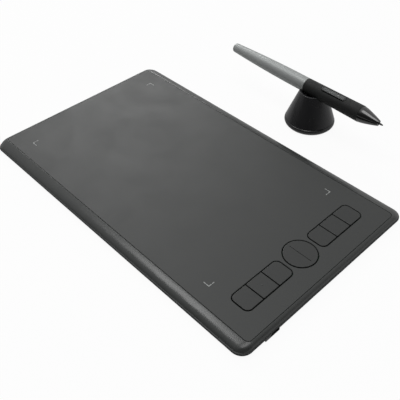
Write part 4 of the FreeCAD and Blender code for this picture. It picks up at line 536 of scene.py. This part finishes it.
@dataclass
class Pen:
    """The pen's rocker, modelled with its studs in place of the plain solid.

    Its place comes from the joints: it rocks about a cross pin, and the nib slides in along the pen.
    The crown is as far above the pin as in the solid.
    """

    rocker_length: float = 27.0
    rocker_width: float = 4.5
    crown_rise: float = 2.55
    grip_rear_diameter: float = 13.7
    grip_front_diameter: float = 15.2
    grip_length: float = 62.3
    edge_radius: float = 0.5
    stud_pitch: float = 1.0
    stud_radius: float = 0.42
    stud_height: float = 0.25
    stud_rows: int = 3
    stud_end_gap: float = 1.6
    bottom_drop: float = 2.4
    steps_along: int = 420
    steps_across: int = 72
    crowding: float = 0.25

    def build(self) -> None:
        """Add the rocker."""
        self.add_rocker()

    def grip_slope(self) -> float:
        """Return how fast the grip's radius grows towards the nib."""
        return (self.grip_front_diameter - self.grip_rear_diameter) / 2 / self.grip_length

    def outline(self) -> tuple[Array, Array]:
        """Lay a grid over the rocker's outline, a bar with round ends.

        One parameter runs along the bar and one across it from edge to edge. Both are crowded
        towards their ends by a cosine, and at the round ends the width follows the circle.

        Returns:
            Place along the bar and place across it, from its middle, in millimetres.
        """
        half_length = self.rocker_length / 2
        radius = self.rocker_width / 2
        straight = half_length - radius
        share = np.linspace(-1, 1, self.steps_along)
        bend = np.sin(share * np.pi / 2)
        along = half_length * ((1 - self.crowding) * share + self.crowding * bend)
        past = np.clip(np.abs(along) - straight, 0, radius)
        width = np.sqrt(np.maximum(radius ** 2 - past ** 2, 0))
        across = np.sin(np.linspace(-1, 1, self.steps_across) * np.pi / 2)
        return along[:, None] + 0 * across[None], width[:, None] * across[None]

    def studs(self, along: Array, across: Array) -> Array:
        """Work out how far each place on the rocker belongs to a stud, from 0 to 1.

        Studs stand in rows a pitch apart. Within a stud's radius the value falls with the square of
        the way out from its middle.

        Args:
            along: Place along the bar.
            across: Place across the bar.

        Returns:
            The share of the stud's height.
        """
        column = np.round(along / self.stud_pitch) * self.stud_pitch
        row = np.round(across / self.stud_pitch) * self.stud_pitch
        spread = np.hypot(along - column, across - row) / self.stud_radius
        inner = (np.abs(row) < self.stud_rows / 2 * self.stud_pitch) & \
                (np.abs(column) < self.rocker_length / 2 - self.stud_end_gap)
        return np.where(inner, np.maximum(1 - spread ** 2, 0), 0)

    def placed(self, points: Array) -> Array:
        """Carry points from the rocker's own frame, centred on its pin, to their place on the pen.

        Args:
            points: Place along the pen, across it and up from the pin, one row each.

        Returns:
            The same points in the object's frame.
        """
        joints = {joint["name"]: joint for joint in frame["joints"]}
        pin = joints["pen_button_rock"]
        across = np.array(pin["axis"]) / np.linalg.norm(pin["axis"])
        along = -np.array(joints["nib_press"]["axis"]) / np.linalg.norm(joints["nib_press"]["axis"])
        turn = np.stack([along, across, np.cross(along, across)])
        return points @ turn + np.array(pin["pos_m"]) / MM

    def add_rocker(self) -> None:
        """Model the rocker: a sloping flat top with rounded edges and rows of small studs.

        The height is the sloping crown, less a quarter circle within the edge radius of the
        outline, plus a rounded bump wherever a stud stands. A skirt goes down from the outline.
        """
        along, across = self.outline()
        radius = self.rocker_width / 2
        crown = self.crown_rise - self.stud_height + self.grip_slope() * along
        past = np.maximum(np.abs(along) - (self.rocker_length / 2 - radius), 0)
        inset = radius - np.hypot(past, across)
        dip = np.clip(1 - inset / self.edge_radius, 0, 1)
        stud = self.studs(along, across)
        top = crown - self.edge_radius * (1 - np.sqrt(1 - dip ** 2)) + self.stud_height * stud
        face = np.stack([along, across, top], -1)
        rows, columns = along.shape
        faces = grid_faces(rows, columns)
        index = np.arange(rows * columns).reshape(rows, columns)
        border = np.concatenate([index[:, 0], index[-1, 1:-1], index[::-1, -1], index[0, -2:0:-1]])
        foot = face.reshape(-1, 3)[border].copy()
        foot[:, 2] = crown.reshape(-1)[border] - self.bottom_drop
        points = self.placed(np.concatenate([face.reshape(-1, 3), foot]))
        below = rows * columns + np.arange(len(border))
        skirt = np.stack([border, below, np.roll(below, -1), np.roll(border, -1)], 1)
        everything = faces[:, ::-1].tolist() + skirt.tolist() + [below[::-1].tolist()]
        piece = Piece("studded_rocker", points, everything, GREY_GLOSS_ABS, "pen_button", "pen_button").add()
        # The stud share also masks the painted highlight on the tops of the studs
        share = piece.data.attributes.new("stud", "FLOAT", "POINT")
        share.data.foreach_set("value", np.concatenate([stud.reshape(-1), np.zeros(len(border))]))
        tidy(piece)
        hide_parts("pen_rocker")


def tidy(piece: bpy.types.Object) -> None:
    """Merge the points that meet at a piece's tips and turn all faces outwards.

    Args:
        piece: The object to tidy.
    """
    shape = bmesh.new()
    shape.from_mesh(piece.data)
    bmesh.ops.remove_doubles(shape, verts=shape.verts, dist=MERGE_DISTANCE * MM)
    bmesh.ops.dissolve_degenerate(shape, edges=shape.edges, dist=SLIVER_LENGTH * MM)
    bmesh.ops.recalc_face_normals(shape, faces=shape.faces)
    shape.to_mesh(piece.data)
    shape.free()


@dataclass(frozen=True)
class Dressing:
    """Which finish each solid of the tablet, the pen and the stand wears."""

    finishes: tuple[tuple[Finish, tuple[str, ...]], ...] = (
        (ETCHED_FILM, ("drawing_panel",)),
        (ADHESIVE, ("panel_tape",)),
        (SPRAYED_ABS, ("top_housing",)),
        (MOULDED_ABS, ("bottom_shell",)),
        (KEY_ABS, ("key_1", "key_2", "key_3", "key_4", "key_5", "key_6", "round_key")),
        (SILICONE, ("foot_1", "foot_2", "foot_3", "foot_4", "stand_pad")),
        (BLACK_ZINC, ("case_screws",)),
        (AERIAL_BOARD, ("sensor_board",)),
        (SOLDER_MASK, ("main_board", "pen_board")),
        (TINNED_STEEL, ("shield_plate", "clock_crystal", "nib_puller")),
        (NICKEL, ("socket_shell",)),
        (EPOXY, ("key_switches", "controller_chip", "multiplexer_chips", "socket_tongue", "pen_switches")),
        (CONNECTOR_NYLON, ("cable_connectors",)),
        (CABLE_FILM, ("flat_cable",)),
        (SILVER_LACQUER, ("pen_barrel",)),
        (SOFT_TOUCH, ("pen_grip",)),
        (GLOSS_ABS, ("pen_cone",)),
        (GREY_GLOSS_ABS, ("pen_rocker",)),
        (ACETAL, ("pen_nib", "spare_nibs")),
        (GLASS_FILLED_NYLON, ("nib_holder", "pressure_sensor", "pen_carrier", "nib_tray")),
        (FERRITE, ("pen_core",)),
        (WINDING, ("pen_coil",)),
        (STAND_ABS, ("stand_body", "stand_base")),
    )

    def dress(self) -> None:
        """Put each finish on its solids."""
        for finish, nodes in self.finishes:
            for name in nodes:
                mesh = frame["nodes"][name].data
                mesh.materials.clear()
                mesh.materials.append(finish.material())
                LOG.info("%s wears %s", name, finish.name)


@dataclass(frozen=True)
class Studio:
    """Floor, surroundings, lamps and the camera at the photograph's viewpoint.

    The camera was solved from the outline of the tablet: its place is in millimetres, its heading is
    anticlockwise from +X, and the picture is 36 mm wide on the sensor. The surroundings are at the
    dark level where the cosine of the angle to the bright side is under the dim facing, and at the
    bright level where it is over the bright facing.
    """

    camera_place: tuple[float, float, float] = (286.51, -253.45, 344.66)
    heading: float = 136.711
    dip: float = 43.892
    roll: float = 0.771
    lens: float = 53.315
    sensor: float = 36.0
    floor_radius: float = 4000.0
    floor_corners: int = 96
    floor_colour: str = "#F4F4F4"
    floor_drop: float = 0.05
    floor_glow: float = 0.94
    floor_mirror: float = 0.5
    bright_side: tuple[float, float, float] = (-0.6, 0.7, 0.35)
    dark_level: float = 0.07
    bright_level: float = 0.45
    mirror_share: float = 0.55
    dim_facing: float = -0.45
    bright_facing: float = 0.45

    def build(self) -> None:
        """Make the floor, the surroundings, the lamps and the camera."""
        self.add_floor()
        self.add_world()
        self.add_lamps()
        self.add_camera()

    def add_camera(self) -> None:
        """Place the camera by its heading, dip and roll."""
        heading, dip, roll = (math.radians(angle) for angle in (self.heading, self.dip, self.roll))
        forward = Vector((math.cos(heading) * math.cos(dip), math.sin(heading) * math.cos(dip),
                          -math.sin(dip)))
        level = forward.cross(Vector((0, 0, 1))).normalized()
        down = forward.cross(level)
        right = level * math.cos(roll) + down * math.sin(roll)
        down = forward.cross(right)
        data = bpy.data.cameras.new("camera")
        data.lens = self.lens
        data.sensor_width = self.sensor
        data.clip_start = 0.01
        camera = bpy.data.objects.new("camera", data)
        bpy.context.scene.collection.objects.link(camera)
        turn = Matrix((right, -down, -forward)).transposed().to_4x4()
        camera.matrix_world = Matrix.Translation(Vector(self.camera_place) * MM) @ turn
        bpy.context.scene.camera = camera

    def direct_rays(self, tree: bpy.types.NodeTree, rays: bpy.types.Node) -> bpy.types.NodeSocket:
        """Find the rays that come straight from the camera or through a clear piece.

        Args:
            tree: The node tree.
            rays: The Light Path node.

        Returns:
            One for these rays and zero for the others.
        """
        both = {0: rays.outputs["Is Camera Ray"], 1: rays.outputs["Is Transmission Ray"]}
        return add_node(tree, "ShaderNodeMath", both, operation="MAXIMUM").outputs["Value"]

    def add_floor(self) -> None:
        """Make a wide white disc under the object.

        The eye sees nearly plain white with a trace of the object's shadow, and reflections see an
        even, dimmer white.
        """
        turns = np.linspace(0, 2 * np.pi, self.floor_corners, endpoint=False)
        ring = np.stack([np.cos(turns), np.sin(turns), np.zeros_like(turns)], 1) * self.floor_radius
        ring[:, 2] = -self.floor_drop
        mesh = bpy.data.meshes.new("floor")
        mesh.from_pydata((ring * MM).tolist(), [], [tuple(range(len(turns)))])
        floor = bpy.data.objects.new("floor", mesh)
        bpy.context.scene.collection.objects.link(floor)
        material = bpy.data.materials.new("white_paper")
        material.use_nodes = True
        tree = material.node_tree
        tree.nodes.clear()
        rays = add_node(tree, "ShaderNodeLightPath")
        straight = add_node(tree, "ShaderNodeMath",
                            {0: self.direct_rays(tree, rays), 1: self.floor_glow}, operation="MULTIPLY")
        share = add_node(tree, "ShaderNodeMath",
                         {0: straight.outputs["Value"], 1: rays.outputs["Is Glossy Ray"]},
                         operation="MAXIMUM")
        strength = add_node(tree, "ShaderNodeMix",
                            {"Factor": rays.outputs["Is Glossy Ray"], "A": 1.0, "B": self.floor_mirror})
        paper = add_node(tree, "ShaderNodeBsdfDiffuse", {"Color": linear(self.floor_colour)})
        glow = add_node(tree, "ShaderNodeEmission",
                        {"Color": (1, 1, 1, 1), "Strength": strength.outputs["Result"]})
        mix = add_node(tree, "ShaderNodeMixShader", {0: share.outputs["Value"], 1: paper.outputs["BSDF"],
                                                     2: glow.outputs["Emission"]})
        add_node(tree, "ShaderNodeOutputMaterial", {"Surface": mix.outputs["Shader"]})
        mesh.materials.append(material)

    def add_world(self) -> None:
        """Surround the object with a studio that is pale at the back left and dim at the front right.

        The level climbs smoothly with the cosine of the angle to the bright side. A camera looking
        past the floor sees plain white, and reflections see a share of white where the side is bright.
        """
        world = bpy.data.worlds.new("studio")
        world.use_nodes = True
        tree = world.node_tree
        tree.nodes.clear()
        way = add_node(tree, "ShaderNodeTexCoord").outputs["Generated"]
        side = Vector(self.bright_side).normalized()
        facing = add_node(tree, "ShaderNodeVectorMath", {0: way, 1: side}, operation="DOT_PRODUCT")
        bright = add_node(tree, "ShaderNodeMapRange",
                          {"Value": facing.outputs["Value"], "From Min": self.dim_facing,
                           "From Max": self.bright_facing},
                          interpolation_type="SMOOTHSTEP").outputs["Result"]
        level = add_node(tree, "ShaderNodeMix",
                         {"Factor": bright, "A": self.dark_level, "B": self.bright_level})
        rays = add_node(tree, "ShaderNodeLightPath")
        white = add_node(tree, "ShaderNodeMath", {0: bright, 1: self.mirror_share}, operation="MULTIPLY")
        mirrored = add_node(tree, "ShaderNodeMath", {0: rays.outputs["Is Glossy Ray"],
                                                     1: white.outputs["Value"]}, operation="MULTIPLY")
        seen = add_node(tree, "ShaderNodeMath",
                        {0: self.direct_rays(tree, rays), 1: mirrored.outputs["Value"]}, operation="MAXIMUM")
        strength = add_node(tree, "ShaderNodeMix",
                            {"Factor": seen.outputs["Value"], "A": level.outputs["Result"], "B": 1.0})
        glow = add_node(tree, "ShaderNodeBackground",
                        {"Color": (1, 1, 1, 1), "Strength": strength.outputs["Result"]})
        add_node(tree, "ShaderNodeOutputWorld", {"Surface": glow.outputs["Background"]})
        bpy.context.scene.world = world

    def add_lamps(self) -> None:
        """Hang the softboxes, each by its place, aim, size and power."""
        boxes = (
            ("side_softbox", (-1700.0, 1050.0, 1100.0), (0.0, 0.0, 0.0), (1000.0, 600.0), 11.0),
            ("left_softbox", (-680.0, -150.0, 1500.0), (-680.0, -150.0, 0.0), (500.0, 660.0), 5.6),
            ("near_strip", (180.0, -460.0, 1500.0), (180.0, -460.0, 0.0), (520.0, 280.0), 1.5),
            ("middle_strip", (180.0, -130.0, 1500.0), (180.0, -130.0, 0.0), (520.0, 280.0), 1.5),
            ("far_strip", (180.0, 200.0, 1500.0), (180.0, 200.0, 0.0), (520.0, 280.0), 1.5),
        )
        for name, place, aim, (width, height), power in boxes:
            data = bpy.data.lights.new(name, "AREA")
            data.shape = "RECTANGLE"
            data.size = width * MM
            data.size_y = height * MM
            data.energy = power
            lamp = bpy.data.objects.new(name, data)
            bpy.context.scene.collection.objects.link(lamp)
            way = Vector(aim) - Vector(place)
            lamp.rotation_euler = way.to_track_quat("-Z", "Y").to_euler()
            lamp.location = Vector(place) * MM


def main() -> None:
    """Build the studio, dress the solids and add the pieces, in order."""
    logging.basicConfig(level=logging.INFO, format="%(name)s: %(message)s")
    bpy.context.scene.view_settings.view_transform = "Standard"
    Studio().build()
    Dressing().dress()
    Tablet().build()
    Pen().build()


if __name__ == "__main__":
    main()
